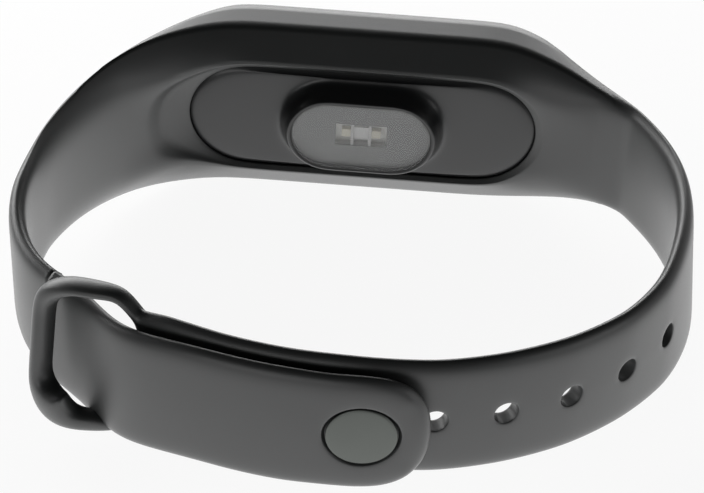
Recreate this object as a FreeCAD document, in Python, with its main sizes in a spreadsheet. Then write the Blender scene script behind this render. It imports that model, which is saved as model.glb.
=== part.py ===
"""Fitness tracker band: a removable sensor capsule in a one-piece elastomer wristband with a loop and stud clasp.

Frame: +Z runs along the wrist hole, so the band lies on its edge at Z 0. +Y points from the clasp to the
capsule, and +X along the capsule. The origin is under the middle of the whole band. All sizes are millimetres.
"""
import FreeCAD
import Part
import Sketcher
import math
import os
import re

from FreeCAD import Placement, Rotation, Vector

# name, value, what it is
SIZES = [
    # plan of the band, seen along Z: half of its outer line is a flat and four tangent arcs,
    # and the bend at the side of the wrist is the arc that touches the shoulder and the front
    ("back_y", 27.95, "outer face of the capsule cradle"),
    ("band_depth", 54.9, "outer face of the cradle to the outer face at the clasp"),
    ("corner_inset", 4.95, "end of the capsule back to the start of the bend at each end of the cradle"),
    ("corner_radius", 5.0, "bend at each end of the cradle"),
    ("corner_turn", 36.0, "degrees the corner turns"),
    ("shoulder_radius", 40.0, "long bend from the cradle to the side"),
    ("shoulder_turn", 42.0, "degrees the shoulder turns"),
    ("front_radius", 42.0, "wide arc at the clasp"),
    # wristband
    ("cradle_width", 20.2, "across the cradle, along Z"),
    ("cradle_depth", 7.7, "outer face to the rim that meets the wrist"),
    ("section_inset", 6.95, "end of the capsule back to where the cradle keeps its full section"),
    ("taper_reach", 9.85, "end of the capsule on to where the taper to the strap ends"),
    ("stud_strap_width", 13.8, "strap that carries the stud"),
    ("hole_strap_width", 13.5, "strap that carries the holes"),
    ("strap_thick", 1.8, "thickness of both straps"),
    ("strap_round", 0.75, "rounding along the strap edges"),
    ("layer_gap", 0.3, "air between the two straps where they overlap"),
    ("cradle_outer_round", 1.9, "rounding of the outer edges of the cradle, across"),
    ("cradle_outer_drop", 1.5, "the same rounding, in depth"),
    ("cradle_inner_round", 3.3, "rounding of the wrist side edges of the cradle, across"),
    ("cradle_inner_drop", 2.6, "the same rounding, in depth"),
    # adjusting holes and clasp, placed by arc length from the middle of the front
    ("hole_diameter", 2.9, "adjusting hole"),
    ("hole_pitch", 7.0, "distance from hole to hole"),
    ("hole_count", 9, "adjusting holes"),
    ("hole_in_use", 4, "which hole holds the stud, counted from the loop"),
    ("stud_place", 2.6, "arc length from the middle of the front to the stud, to the right"),
    ("loop_start", 20.7, "arc length to the end of the hole strap, where the loop opens"),
    ("loop_slot", 8.7, "length of the slot in the loop"),
    ("loop_bar", 2.1, "width of the end bar of the loop"),
    ("loop_leg", 1.25, "width of each side of the loop"),
    ("loop_thick", 2.0, "thickness of the loop"),
    ("loop_rise", 0.15, "how far the end bar stands out beyond that clearance"),
    ("loop_clear", 0.35, "clearance between the loop and the strap in it"),
    ("tail_hinge", 15.5, "arc length at which the free tail starts to bend"),
    ("tail_split", 0.08, "gap at the bend line"),
    ("tail_round", 0.6, "rounding of the tail edges"),
    # stud
    ("cap_diameter", 7.0, "stud cap"),
    ("cap_recess", 0.7, "depth of the seat for the cap"),
    ("cap_thick", 0.58, "stud cap"),
    ("cap_clear", 0.05, "clearance round the cap in its seat"),
    ("cap_dish", 0.35, "width of the soft dish round the cap"),
    ("pin_diameter", 1.7, "neck of the stud pin"),
    ("pin_head_diameter", 2.3, "head of the stud pin"),
    ("pin_head_length", 1.1, "head of the stud pin"),
    ("pin_clear", 0.02, "clearance of the pin in the tail"),
    # capsule, in depth from its rear face towards its front
    ("capsule_length", 40.3, "capsule"),
    ("capsule_width", 15.7, "capsule"),
    ("capsule_front", 7.7, "rear face to the crown of the front cover"),
    ("capsule_setback", 7.1, "outer face of the cradle to the rear face of the capsule"),
    ("capsule_clear", 0.15, "clearance between the capsule and the cradle"),
    ("seat_chamfer", 1.6, "chamfer of the rear edge, which the cradle lip holds"),
    ("lip_flare", 1.4, "flare of both sides of the cradle lip, sideways per unit of depth"),
    ("lip_land", 0.15, "blunt edge of the lip"),
    ("shell_top", 5.6, "joint between rear shell and front cover"),
    ("shell_wall", 1.6, "side wall of the rear shell"),
    ("shell_floor", 1.0, "floor of the rear shell"),
    ("board_ledge", 4.4, "height of the ledge that carries the board"),
    ("ledge_width", 0.5, "width of that ledge"),
    ("cover_wall", 1.4, "side wall of the front cover"),
    ("cover_edge", 6.9, "height of the cover at its two ends"),
    ("cover_ceiling", 6.6, "inner face of the front cover"),
    ("cover_round", 0.9, "rounding round the front cover"),
    ("key_diameter", 7.0, "dished touch key"),
    ("key_inset", 7.15, "end of the capsule back to the middle of the touch key"),
    ("key_dish", 36.0, "radius of the dish"),
    ("seal_width", 0.6, "gasket between shell and cover"),
    ("seal_thick", 0.3, "gasket between shell and cover"),
    # sensor island on the rear face
    ("island_height", 3.0, "island over the rear face"),
    ("island_base_length", 17.2, "island where it meets the rear face"),
    ("island_base_width", 10.2, "island where it meets the rear face"),
    ("island_top_length", 15.9, "island at its top"),
    ("island_top_width", 9.1, "island at its top"),
    ("window_length", 14.9, "glass window"),
    ("window_width", 8.1, "glass window"),
    ("window_thick", 0.6, "glass window"),
    ("window_seal", 0.14, "width of the seal line round the glass"),
    ("seal_recess", 0.05, "depth of the seal line under the face of the glass"),
    ("mask_thick", 0.1, "opaque film behind the glass"),
    ("clear_length", 5.4, "clear field in the film"),
    ("clear_width", 2.7, "clear field in the film"),
    ("window_ledge", 0.9, "width of the ledge under the glass"),
    ("sensor_height", 0.8, "depth of the sensor chamber, film to sensor board"),
    ("sensor_board_thick", 0.5, "sensor board"),
    ("sensor_clear", 0.45, "clearance round the sensor board"),
    ("led_spacing", 3.2, "distance between the two light emitters"),
    ("led_size", 0.95, "light emitter"),
    ("led_height", 0.55, "light emitter"),
    ("diode_size", 1.5, "photodiode"),
    ("diode_height", 0.45, "photodiode"),
    ("barrier_wall", 0.45, "light barrier round the sensor"),
    # inner pieces
    ("board_thick", 0.6, "main board"),
    ("board_clear", 0.15, "clearance round the main board"),
    ("battery_clear", 0.45, "clearance between the cell and the ledges beside it"),
    ("battery_overrun", 1.3, "how far the cell reaches into the round end of the capsule"),
    ("battery_thick", 2.75, "cell"),
    ("battery_round", 0.6, "rounding of the cell"),
    ("pad_thick", 0.15, "adhesive pads"),
    ("guard_gap", 0.4, "gap between the cell and its protection board"),
    ("guard_clear", 1.24, "gap between that board and the ribbon of the sensor"),
    ("guard_length", 1.6, "cell protection board"),
    ("guard_thick", 0.8, "cell protection board"),
    ("tab_width", 1.6, "cell tabs"),
    ("tab_thick", 0.12, "cell tabs"),
    ("tab_spacing", 5.0, "cell tabs"),
    ("motor_inset", 2.15, "end wall of the capsule to the vibration motor can"),
    ("motor_diameter", 7.0, "vibration motor can"),
    ("motor_height", 2.4, "vibration motor can"),
    ("motor_wall", 0.2, "vibration motor can"),
    ("motor_shaft", 0.7, "motor shaft diameter"),
    ("rotor_radius", 3.0, "eccentric rotor"),
    ("rotor_thick", 1.2, "eccentric rotor"),
    ("rotor_hub", 0.9, "radius of the rotor hub"),
    ("rotor_clear", 0.04, "running clearance on the shaft"),
    ("panel_length", 13.6, "display panel"),
    ("panel_width", 7.6, "display panel"),
    ("panel_thick", 1.1, "display panel"),
    ("frame_wall", 0.8, "display frame"),
    ("panel_clear", 0.05, "clearance round the panel"),
    ("flex_width", 3.6, "ribbon cables"),
    ("flex_thick", 0.12, "ribbon cables"),
    ("ribbon_bend", 0.8, "length that a ribbon needs to turn"),
    ("chip_size", 4.6, "processor"),
    ("chip_thick", 0.8, "processor"),
    ("chip_gap", 1.7, "display frame to the processor, with the ribbon of the display between them"),
    ("memory_length", 3.2, "memory chip"),
    ("memory_width", 2.6, "memory chip"),
    ("memory_thick", 0.6, "memory chip"),
    ("motion_size", 2.0, "motion sensor"),
    ("motion_thick", 0.8, "motion sensor"),
    ("antenna_length", 5.0, "antenna"),
    ("antenna_width", 1.6, "antenna"),
    ("antenna_thick", 0.9, "antenna"),
    ("touch_thick", 0.12, "touch electrode"),
    ("touch_diameter", 6.0, "touch electrode"),
    ("contact_diameter", 1.3, "charging contact"),
    ("contact_spacing", 4.4, "charging contacts"),
    ("contact_height", 2.7, "charging contacts over the rear face"),
    ("contact_clear", 0.02, "clearance round a charging contact"),
]

doc = FreeCAD.newDocument("fitness_tracker_band")


def make_sheet():
    sheet = doc.addObject("Spreadsheet::Sheet", "sizes")
    for row, (alias, value, note) in enumerate(SIZES, start=1):
        sheet.set(f"A{row}", alias)
        sheet.set(f"B{row}", str(value))
        sheet.set(f"C{row}", note)
        sheet.setAlias(f"B{row}", alias)
    doc.recompute()
    return sheet


sheet = make_sheet()


def size(alias):
    """The value of one driving dimension."""
    return float(sheet.get(alias))


NODES = []


def node(item, label):
    """Marks a document object as one sub-part and names its file."""
    item.Label = label
    NODES.append(item)
    return item


def bind(item, **expressions):
    """Binds properties to the sheet. Two underscores in a name stand for a dot."""
    for name, expression in expressions.items():
        item.setExpression(name.replace("__", "."), expression)
    return item


# ---------------------------------------------------------------- plan of the band


def flat_half():
    """Half of the straight stretch behind the capsule."""
    return size("capsule_length") / 2 - size("corner_inset")


def full_section():
    """Half length over which the cradle keeps its full section."""
    return size("capsule_length") / 2 - size("section_inset")


def taper_end():
    """X at which the taper to the strap ends."""
    return size("capsule_length") / 2 + size("taper_reach")


def outward(heading):
    """Unit vector out of the band at a heading."""
    angle = math.radians(heading)
    return Vector(math.sin(angle), math.cos(angle), 0)


class Plan:
    """Half of the band seen along Z, from the middle of the back to the middle of the front."""

    def __init__(self):
        self.flat, self.front_radius = flat_half(), size("front_radius")
        self.radii = [size("corner_radius"), size("shoulder_radius")]
        self.turns = [size("corner_turn"), size("shoulder_turn")]
        self.side_start = sum(self.turns)
        self.front_y = size("back_y") - size("band_depth")
        self.centre_y = self.front_y + self.front_radius
        joint = self.outer(self.flat + self.run())
        spoke = Vector(joint[0], joint[1] - self.centre_y, 0)
        out = outward(joint[2])
        # the side arc touches the shoulder at the joint and the front arc from inside
        side = (self.front_radius**2 - spoke.dot(spoke)) / (2 * (self.front_radius - spoke.dot(out)))
        centre = spoke - out * side
        side_turn = math.degrees(math.atan2(centre.x, centre.y)) - self.side_start
        self.radii += [side, self.front_radius]
        self.turns += [side_turn, 180.0 - self.side_start - side_turn]
        self.length = self.flat + self.run()

    def run(self):
        """Arc length of all arcs known so far."""
        return sum(radius * math.radians(turn) for radius, turn in zip(self.radii, self.turns))

    def outer(self, distance):
        """x, y and heading in degrees at an arc length from the middle of the back."""
        if distance <= self.flat:
            return distance, size("back_y"), 0.0
        x, y, heading, left = self.flat, size("back_y"), 0.0, distance - self.flat
        for radius, turn in zip(self.radii, self.turns):
            step = min(math.degrees(left / radius), turn)
            start, end = math.radians(heading), math.radians(heading + step)
            x += radius * (math.sin(end) - math.sin(start))
            y -= radius * (math.cos(start) - math.cos(end))
            heading += step
            left -= radius * math.radians(step)
            if left <= 1e-9:
                break
        return x, y, heading

    def front(self, distance):
        """x, y and heading at an arc length from the middle of the front, to the left if positive."""
        x, y, heading = self.outer(self.length - abs(distance))
        if distance > 0:
            return -x, y, 360.0 - heading
        return x, y, heading


plan = Plan()


def smooth(value, low, high):
    """0 below low, 1 above high, and a smooth step between."""
    share = min(max((value - low) / (high - low), 0.0), 1.0)
    return share * share * (3 - 2 * share)


def blend(a, b, share):
    return a + (b - a) * share


def rounded_section(middle, across, out, half_width, half_thick, outer_round, inner_round):
    """A closed wire: a flat outer and inner face joined by rounded edges.

    outer_round and inner_round are (extent across, extent in depth) of those edges.
    """

    def at(sideways, depth):
        return middle + across * sideways + out * depth

    def corner(side, face, extent):
        wide, deep = extent
        ends = [(half_width - wide, half_thick), (half_width, half_thick - deep)]
        bend = 1 - math.sqrt(0.5)
        mid = (half_width - wide * bend, half_thick - deep * bend)
        start, end = (at(side * w, face * d) for w, d in ends)
        return start, at(side * mid[0], face * mid[1]), end

    a = corner(1, 1, outer_round)
    b = corner(1, -1, inner_round)
    c = corner(-1, -1, inner_round)
    d = corner(-1, 1, outer_round)
    edges = [
        Part.Arc(*a).toShape(),
        Part.LineSegment(a[2], b[2]).toShape(),
        Part.Arc(b[2], b[1], b[0]).toShape(),
        Part.LineSegment(b[0], c[0]).toShape(),
        Part.Arc(*c).toShape(),
        Part.LineSegment(c[2], d[2]).toShape(),
        Part.Arc(d[2], d[1], d[0]).toShape(),
        Part.LineSegment(d[0], a[0]).toShape(),
    ]
    return Part.Wire(edges)


def inner_line():
    """Stations of the wrist side line from the middle of the back to the start of the side bend."""
    start, end = full_section(), plan.flat + sum(
        radius * math.radians(turn) for radius, turn in zip(plan.radii[:2], plan.turns[:2])
    )
    outer_end = plan.outer(end)
    joint = Vector(outer_end[0], outer_end[1], 0) - outward(outer_end[2]) * size("strap_thick")
    rim_y = size("back_y") - size("cradle_depth")
    total = math.radians(plan.side_start)
    first = total * 0.55
    # two tangent arcs lead from the flat rim to the joint; their radii solve a 2 by 2 system
    m11, m12 = math.sin(first), math.sin(total) - math.sin(first)
    m21, m22 = 1 - math.cos(first), math.cos(first) - math.cos(total)
    bx, by = joint.x - flat_half(), rim_y - joint.y
    det = m11 * m22 - m12 * m21
    near, far = (bx * m22 - by * m12) / det, (m11 * by - m21 * bx) / det
    flat = flat_half() - start
    length = flat + near * first + far * (total - first)

    def point(share):
        left = share * length
        if left <= flat:
            return Vector(start + left, rim_y, 0)
        left -= flat
        turn = min(left / near, first)
        x = flat_half() + near * math.sin(turn)
        y = rim_y - near * (1 - math.cos(turn))
        left -= near * turn
        if left > 1e-9:
            turn = first + left / far
            x += far * (math.sin(turn) - math.sin(first))
            y -= far * (math.cos(first) - math.cos(turn))
        return Vector(x, y, 0)

    return point, start, end


def half_width(x, strap_width):
    """Half the width of the band behind the wrist, at a distance x from the middle."""
    full, strap = size("cradle_width") / 2, strap_width / 2
    start, end = full_section(), taper_end()
    run, drop = (end - start) / 2, (full - strap) / 2
    radius = (run * run + drop * drop) / (2 * drop)
    x = min(max(x, start), end)
    if x <= start + run:
        return full - (radius - math.sqrt(radius * radius - (x - start) ** 2))
    return strap + (radius - math.sqrt(radius * radius - (end - x) ** 2))


def band_section(outer, inner, width_half, share):
    """Section of the band. share is 0 where it is cradle and 1 where it is strap."""
    out = outer - inner
    thick = out.Length
    out.normalize()
    edge = size("strap_round")
    outer_round = (
        blend(size("cradle_outer_round"), edge, share),
        blend(size("cradle_outer_drop"), edge, share),
    )
    inner_round = (
        blend(size("cradle_inner_round"), edge, share),
        blend(size("cradle_inner_drop"), edge, share),
    )
    middle = (outer + inner) * 0.5 + Vector(0, 0, size("cradle_width") / 2)
    return rounded_section(
        middle, Vector(0, 0, 1), out, width_half, thick / 2, outer_round, inner_round
    )


def cradle_block():
    """The two end sections of the straight stretch behind the capsule."""
    sections = []
    for x in (-full_section(), full_section()):
        outer = Vector(x, size("back_y"), 0)
        rim = outer - Vector(0, size("cradle_depth"), 0)
        sections.append(band_section(outer, rim, size("cradle_width") / 2, 0.0))
    return sections


def half_band(strap_width, side):
    """Two runs of sections: round the end of the cradle, and on to the start of the side bend."""
    inner, start, end = inner_line()
    corner = plan.flat + plan.radii[0] * math.radians(plan.turns[0])
    runs = []
    for low, high, count in ((start, corner, 7), (corner, end, 11)):
        sections = []
        for k in range(count + 1):
            place = blend(low, high, k / count)
            x, y, _ = plan.outer(place)
            near = inner((place - start) / (end - start))
            outer, rim = Vector(side * x, y, 0), Vector(side * near.x, near.y, 0)
            share = smooth(x, start + size("corner_radius") * 0.2, taper_end())
            sections.append(band_section(outer, rim, half_width(x, strap_width), share))
        runs.append(sections)
    return runs


def strap_sections(places, strap_width, lift):
    """Sections square to the band at arc lengths from the middle of the front."""
    sections = []
    for place in places:
        x, y, heading = plan.front(place)
        out = outward(heading)
        outer = Vector(x, y, 0) + out * lift(place)
        sections.append(band_section(outer, outer - out * size("strap_thick"), strap_width / 2, 1.0))
    return sections


def spaced(start, end, step):
    """Even places from start to end, both left out if a neighbour makes them."""
    count = max(2, round(abs(end - start) / step))
    return [blend(start, end, k / count) for k in range(count + 1)]


def stud_strap_lift(place):
    """How far the stud strap rides out over the hole strap."""
    over = size("layer_gap") + size("strap_thick")
    start, slot = size("loop_start"), size("loop_slot")
    return over * (1 - smooth(place, start - slot * 0.09, start + slot))


def make_band():
    """The one-piece band without its loop: stud strap, cradle and hole strap as one loft."""
    side_start = plan.length - inner_line()[2]
    step = size("strap_thick") * 1.8
    stud = strap_sections(
        spaced(size("tail_hinge"), side_start, step), size("stud_strap_width"), stud_strap_lift
    )
    hole = strap_sections(
        spaced(-side_start, size("loop_start"), step), size("hole_strap_width"), lambda place: 0.0
    )
    runs = [stud, *half_band(size("stud_strap_width"), -1), cradle_block()]
    runs += [*half_band(size("hole_strap_width"), 1), hole]
    stretches = []
    for run in runs:
        item = doc.addObject("Part::Feature", "band_stretch")
        item.Shape = Part.makeLoft(run, True, False)
        stretches.append(item)
    item = doc.addObject("Part::MultiFuse", "band_stretches")
    item.Shapes = stretches
    return item


def make_loop():
    """The loop at the end of the hole strap: two legs and a rounded end bar, as one swept bar."""
    start, slot, bar = size("loop_start"), size("loop_slot"), size("loop_bar")
    leg, thick = size("loop_leg"), size("loop_thick")
    leg_z = size("stud_strap_width") / 2 + size("loop_clear") + leg / 2
    root_z = size("hole_strap_width") / 2 - leg
    bar_s = start + slot + bar / 2
    bend = slot / 2.3
    low = -size("strap_thick") / 2
    high = size("loop_clear") + thick / 2 + size("loop_rise")
    path = []
    for share in (-0.36, -0.22, -0.09, 0.07, 0.24, 0.46):
        path.append((start + share * slot, blend(root_z, leg_z, smooth(share, -0.4, 0.18)), leg))
    for k in range(7):
        turn = math.radians(90 * k / 6)
        s = bar_s - bend * (1 - math.sin(turn))
        path.append((s, leg_z - bend * (1 - math.cos(turn)), blend(leg, bar, smooth(k, 0, 6))))
    path.append((bar_s, 0.0, bar))
    path += [(s, -z, width) for s, z, width in path[-2::-1]]

    def place(entry):
        s, z, _ = entry
        x, y, heading = plan.front(s)
        rise = blend(low, high, smooth(s, start - slot * 0.05, bar_s - bar / 3))
        return Vector(x, y, size("cradle_width") / 2 + z) + outward(heading) * rise, outward(heading)

    sections = []
    for k, entry in enumerate(path):
        before, after = path[max(k - 1, 0)], path[min(k + 1, len(path) - 1)]
        along = place(after)[0] - place(before)[0]
        along.normalize()
        middle, out = place(entry)
        out = (out - along * out.dot(along)).normalize()
        across = along.cross(out)
        edge = (min(entry[2], thick) * 0.42,) * 2
        sections.append(rounded_section(middle, across, out, entry[2] / 2, thick / 2, edge, edge))
    item = doc.addObject("Part::Feature", "loop_loft")
    item.Shape = Part.makeLoft(sections, True, False)
    return item


# ---------------------------------------------------------------- helpers for bodies and booleans


def value(expression):
    """The present value of an expression over the sheet."""
    return float(sheet.evalExpression(expression))


def short(expression):
    """Expressions are written with bare size names; this adds the name of the sheet."""
    names = {row[0] for row in SIZES}
    words = re.split(r"([A-Za-z_]+)", str(expression))
    return "".join(f"sizes.{word}" if word in names else word for word in words)


def boolean(kind, name, base, tools):
    """A fused or cut object of Part."""
    tool = tools[0]
    if len(tools) > 1:
        tool = doc.addObject("Part::MultiFuse", f"{name}_tools")
        tool.Shapes = tools
    item = doc.addObject(f"Part::{kind}", name)
    item.Base, item.Tool = base, tool
    return item


def new_body(label, local=None):
    """A body. In the capsule its Z is the depth from the rear face to the front, outward."""
    body = doc.addObject("PartDesign::Body", label)
    body.Label = label
    if local is None:
        body.Placement = Placement(Vector(0, 0, 0), Rotation(Vector(1, 0, 0), -90))
        bind(
            body,
            Placement__Base__y=short("back_y - capsule_setback"),
            Placement__Base__z=short("cradle_width / 2"),
        )
    else:
        body.Placement = local
    return body


def origin_plane(body, role):
    return next(item for item in body.Origin.OriginFeatures if item.Role == role)


def new_sketch(body, level="0", role="XY_Plane"):
    """An empty sketch on one of the body's own planes, moved along its normal."""
    sketch = body.newObject("Sketcher::SketchObject", f"{body.Name}_sketch")
    sketch.AttachmentSupport = (origin_plane(body, role), [""])
    sketch.MapMode = "FlatFace"
    bind(sketch, AttachmentOffset__Base__z=short(level))
    return sketch


class Limits:
    """Adds constraints to a sketch and ties each to an expression over the sheet."""

    def __init__(self, sketch):
        self.sketch = sketch

    def add(self, kind, *args):
        return self.sketch.addConstraint(Sketcher.Constraint(kind, *args))

    def tie(self, kind, args, expression):
        full = short(expression)
        index = self.add(kind, *args, value(full))
        self.sketch.setExpression(f"Constraints[{index}]", full)

    def place(self, geometry, point, x, y):
        """Ties a point to a distance from the sketch origin."""
        for axis, expression, name in (("X", x, "DistanceX"), ("Y", y, "DistanceY")):
            if abs(value(short(expression))) < 1e-9:
                self.add("PointOnObject", geometry, point, -2 if axis == "X" else -1)
            else:
                self.tie(name, (-1, 1, geometry, point), expression)


def draw_rectangle(sketch, length, width, x="0", y="0"):
    """A rectangle of a length along X and a width along Y round a middle point."""
    mx, my = value(short(x)), value(short(y))
    hx, hy = value(short(length)) / 2, value(short(width)) / 2
    corners = [
        Vector(mx - hx, my - hy),
        Vector(mx + hx, my - hy),
        Vector(mx + hx, my + hy),
        Vector(mx - hx, my + hy),
    ]
    lines = [
        sketch.addGeometry(Part.LineSegment(corners[k], corners[(k + 1) % 4]), False)
        for k in range(4)
    ]
    limits = Limits(sketch)
    for k in range(4):
        limits.add("Coincident", lines[k], 2, lines[(k + 1) % 4], 1)
        limits.add("Horizontal" if k % 2 == 0 else "Vertical", lines[k])
    limits.tie("DistanceX", (lines[0], 1, lines[0], 2), length)
    limits.tie("DistanceY", (lines[1], 1, lines[1], 2), width)
    limits.place(lines[0], 1, f"{x} - ({length}) / 2", f"{y} - ({width}) / 2")
    return sketch


def draw_circle(sketch, diameter, x="0", y="0"):
    middle = Vector(value(short(x)), value(short(y)))
    radius = value(short(diameter)) / 2
    circle = sketch.addGeometry(Part.Circle(middle, Vector(0, 0, 1), radius), False)
    limits = Limits(sketch)
    limits.tie("Radius", (circle,), f"({diameter}) / 2")
    limits.place(circle, 3, x, y)
    return sketch


def draw_stadium(sketch, length, width, x="0"):
    """A slot shape with half round ends, along X."""
    radius, half = value(short(width)) / 2, (value(short(length)) - value(short(width))) / 2
    mx = value(short(x))
    right = sketch.addGeometry(
        Part.ArcOfCircle(
            Part.Circle(Vector(mx + half, 0), Vector(0, 0, 1), radius), -math.pi / 2, math.pi / 2
        ),
        False,
    )
    left = sketch.addGeometry(
        Part.ArcOfCircle(
            Part.Circle(Vector(mx - half, 0), Vector(0, 0, 1), radius),
            math.pi / 2,
            3 * math.pi / 2,
        ),
        False,
    )
    low = sketch.addGeometry(
        Part.LineSegment(Vector(mx - half, -radius), Vector(mx + half, -radius)), False
    )
    high = sketch.addGeometry(
        Part.LineSegment(Vector(mx + half, radius), Vector(mx - half, radius)), False
    )
    limits = Limits(sketch)
    limits.add("Tangent", low, 2, right, 1)
    limits.add("Tangent", right, 2, high, 1)
    limits.add("Tangent", high, 2, left, 1)
    limits.add("Tangent", left, 2, low, 1)
    limits.add("Equal", left, right)
    limits.tie("Radius", (right,), f"({width}) / 2")
    limits.place(right, 3, f"{x} + (({length}) - ({width})) / 2", "0")
    limits.place(left, 3, f"{x} - (({length}) - ({width})) / 2", "0")
    return sketch


def extrude(body, kind, sketch, length, up=True):
    """A pad or a pocket from a sketch towards +Z, or towards -Z."""
    item = body.newObject(f"PartDesign::{kind}", f"{body.Name}_{kind.lower()}")
    item.Profile = sketch
    item.Reversed = up == (kind == "Pocket")
    bind(item, Length=short(length))
    doc.recompute()
    return item


def add(body, draw, level, height, *args, up=True):
    return extrude(body, "Pad", draw(new_sketch(body, level), *args), height, up)


def cut(body, draw, level, height, *args, up=True):
    return extrude(body, "Pocket", draw(new_sketch(body, level), *args), height, up)


def taper(body, kind, low, high):
    """A loft between two stadiums, each given as (level, length, width)."""
    sketches = [draw_stadium(new_sketch(body, z), length, width) for z, length, width in (low, high)]
    item = body.newObject(f"PartDesign::{kind}Loft", f"{body.Name}_loft")
    item.Profile = sketches[0]
    item.Sections = [sketches[1]]
    item.Ruled = True
    doc.recompute()
    return item


def round_edges(body, radius, wanted):
    """Rounds the edges of the body's tip that a test picks."""
    tip = body.Tip
    names = [
        f"Edge{k}" for k, edge in enumerate(tip.Shape.Edges, start=1) if wanted(edge)
    ]
    item = body.newObject("PartDesign::Fillet", f"{body.Name}_fillet")
    item.Base = (tip, names)
    bind(item, Radius=short(radius))
    doc.recompute()
    return item


def simple(label, draw, level, height, *args):
    """A sub-part that is one pad."""
    body = new_body(label)
    add(body, draw, level, height, *args)
    return node(body, label)


# ---------------------------------------------------------------- wristband

INSIDE_LENGTH = "capsule_length - 2 * shell_wall"
INSIDE_WIDTH = "capsule_width - 2 * shell_wall"
CHAMFER_DEPTH = "seat_chamfer / lip_flare"
LEDGE_TOP = "board_ledge"
BOARD_TOP = "(board_ledge + board_thick)"
FILM_FACE = "(window_thick - island_height)"
CHAMBER_BASE = "(window_thick - island_height + mask_thick)"
SENSOR_FACE = "(window_thick - island_height + mask_thick + sensor_height)"
SENSOR_BACK = "(window_thick - island_height + mask_thick + sensor_height + sensor_board_thick)"
CELL_BASE = "(shell_floor + pad_thick)"
CELL_WIDTH = "(capsule_width - 2 * shell_wall - 2 * ledge_width - 2 * battery_clear)"
CELL_END = "((capsule_length - capsule_width) / 2 + battery_overrun)"
MOTOR_X = "(shell_wall + motor_inset + motor_diameter / 2 - capsule_length / 2)"
CHIP_X = "(0 - panel_length / 2 - frame_wall - chip_gap - chip_size / 2)"
KEY_X = "(capsule_length / 2 - key_inset)"
CHAMBER_LENGTH = "(window_length - 2 * window_ledge)"
CHAMBER_WIDTH = "(window_width - 2 * window_ledge)"
SENSOR_LENGTH = "(window_length - 2 * window_ledge - 2 * sensor_clear)"
SENSOR_WIDTH = "(window_width - 2 * window_ledge - 2 * sensor_clear)"
RIBBON_X = f"(0 - {SENSOR_LENGTH} / 2 - 0.75 * ribbon_bend)"
CELL_START = f"({RIBBON_X} + flex_thick / 2 + guard_clear + guard_length + guard_gap)"


def front_rod(name, diameter, place, low, high):
    """A round rod square to the front of the band, between two depths from its outer line."""
    x, y, heading = plan.front(place)
    out = outward(heading)
    rod = doc.addObject("Part::Cylinder", name)
    bind(rod, Radius=short(f"({diameter}) / 2"))
    rod.Height = high - low
    base = Vector(x, y, size("cradle_width") / 2) + out * low
    rod.Placement = Placement(base, Rotation(Vector(0, 0, 1), out))
    return rod


def stud_arc():
    return -size("stud_place")


def make_holes():
    """The adjusting holes of the hole strap."""
    rods = []
    for k in range(int(size("hole_count"))):
        place = stud_arc() + size("hole_pitch") * (size("hole_in_use") - 1 - k)
        low, high = -size("strap_thick") * 2.5, size("layer_gap") * 0.5
        if abs(place) > size("tail_hinge"):
            high = size("layer_gap")
        rods.append(front_rod(f"hole_{k + 1}", "hole_diameter", place, low, high))
    return rods


def make_opening():
    """Tool for the opening of the cradle: a straight mouth, a lip, and the window to the wrist."""
    body = new_body("cradle_opening")
    wide = "capsule_length + 2 * capsule_clear"
    tall = "capsule_width + 2 * capsule_clear"
    add(body, draw_stadium, CHAMFER_DEPTH, "capsule_front", wide, tall)
    lip = [f"{wide} - 2 * seat_chamfer", f"{tall} - 2 * seat_chamfer"]
    taper(body, "Additive", ("0", *lip), (CHAMFER_DEPTH, wide, tall))
    add(body, draw_stadium, "0", "lip_land", *lip, up=False)
    reach = "(cradle_depth * lip_flare)"
    mouth = ("0 - lip_land - cradle_depth", f"{lip[0]} + 2 * {reach}", f"{lip[1]} + 2 * {reach}")
    taper(body, "Additive", mouth, ("0 - lip_land", *lip))
    return body


def make_wristband():
    band = boolean("Fuse", "band_with_loop", make_band(), [make_loop()])
    item = boolean("Cut", "wristband", band, make_holes() + [make_opening()])
    return node(item, "wristband")


def tail_body(label):
    """A body round the centre of the front arc whose -Y runs through the stud."""
    turn = math.degrees(size("stud_place") / plan.front_radius)
    spot = Placement(
        Vector(0, plan.centre_y, size("cradle_width") / 2), Rotation(Vector(0, 0, 1), turn)
    )
    return new_body(label, spot)


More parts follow.
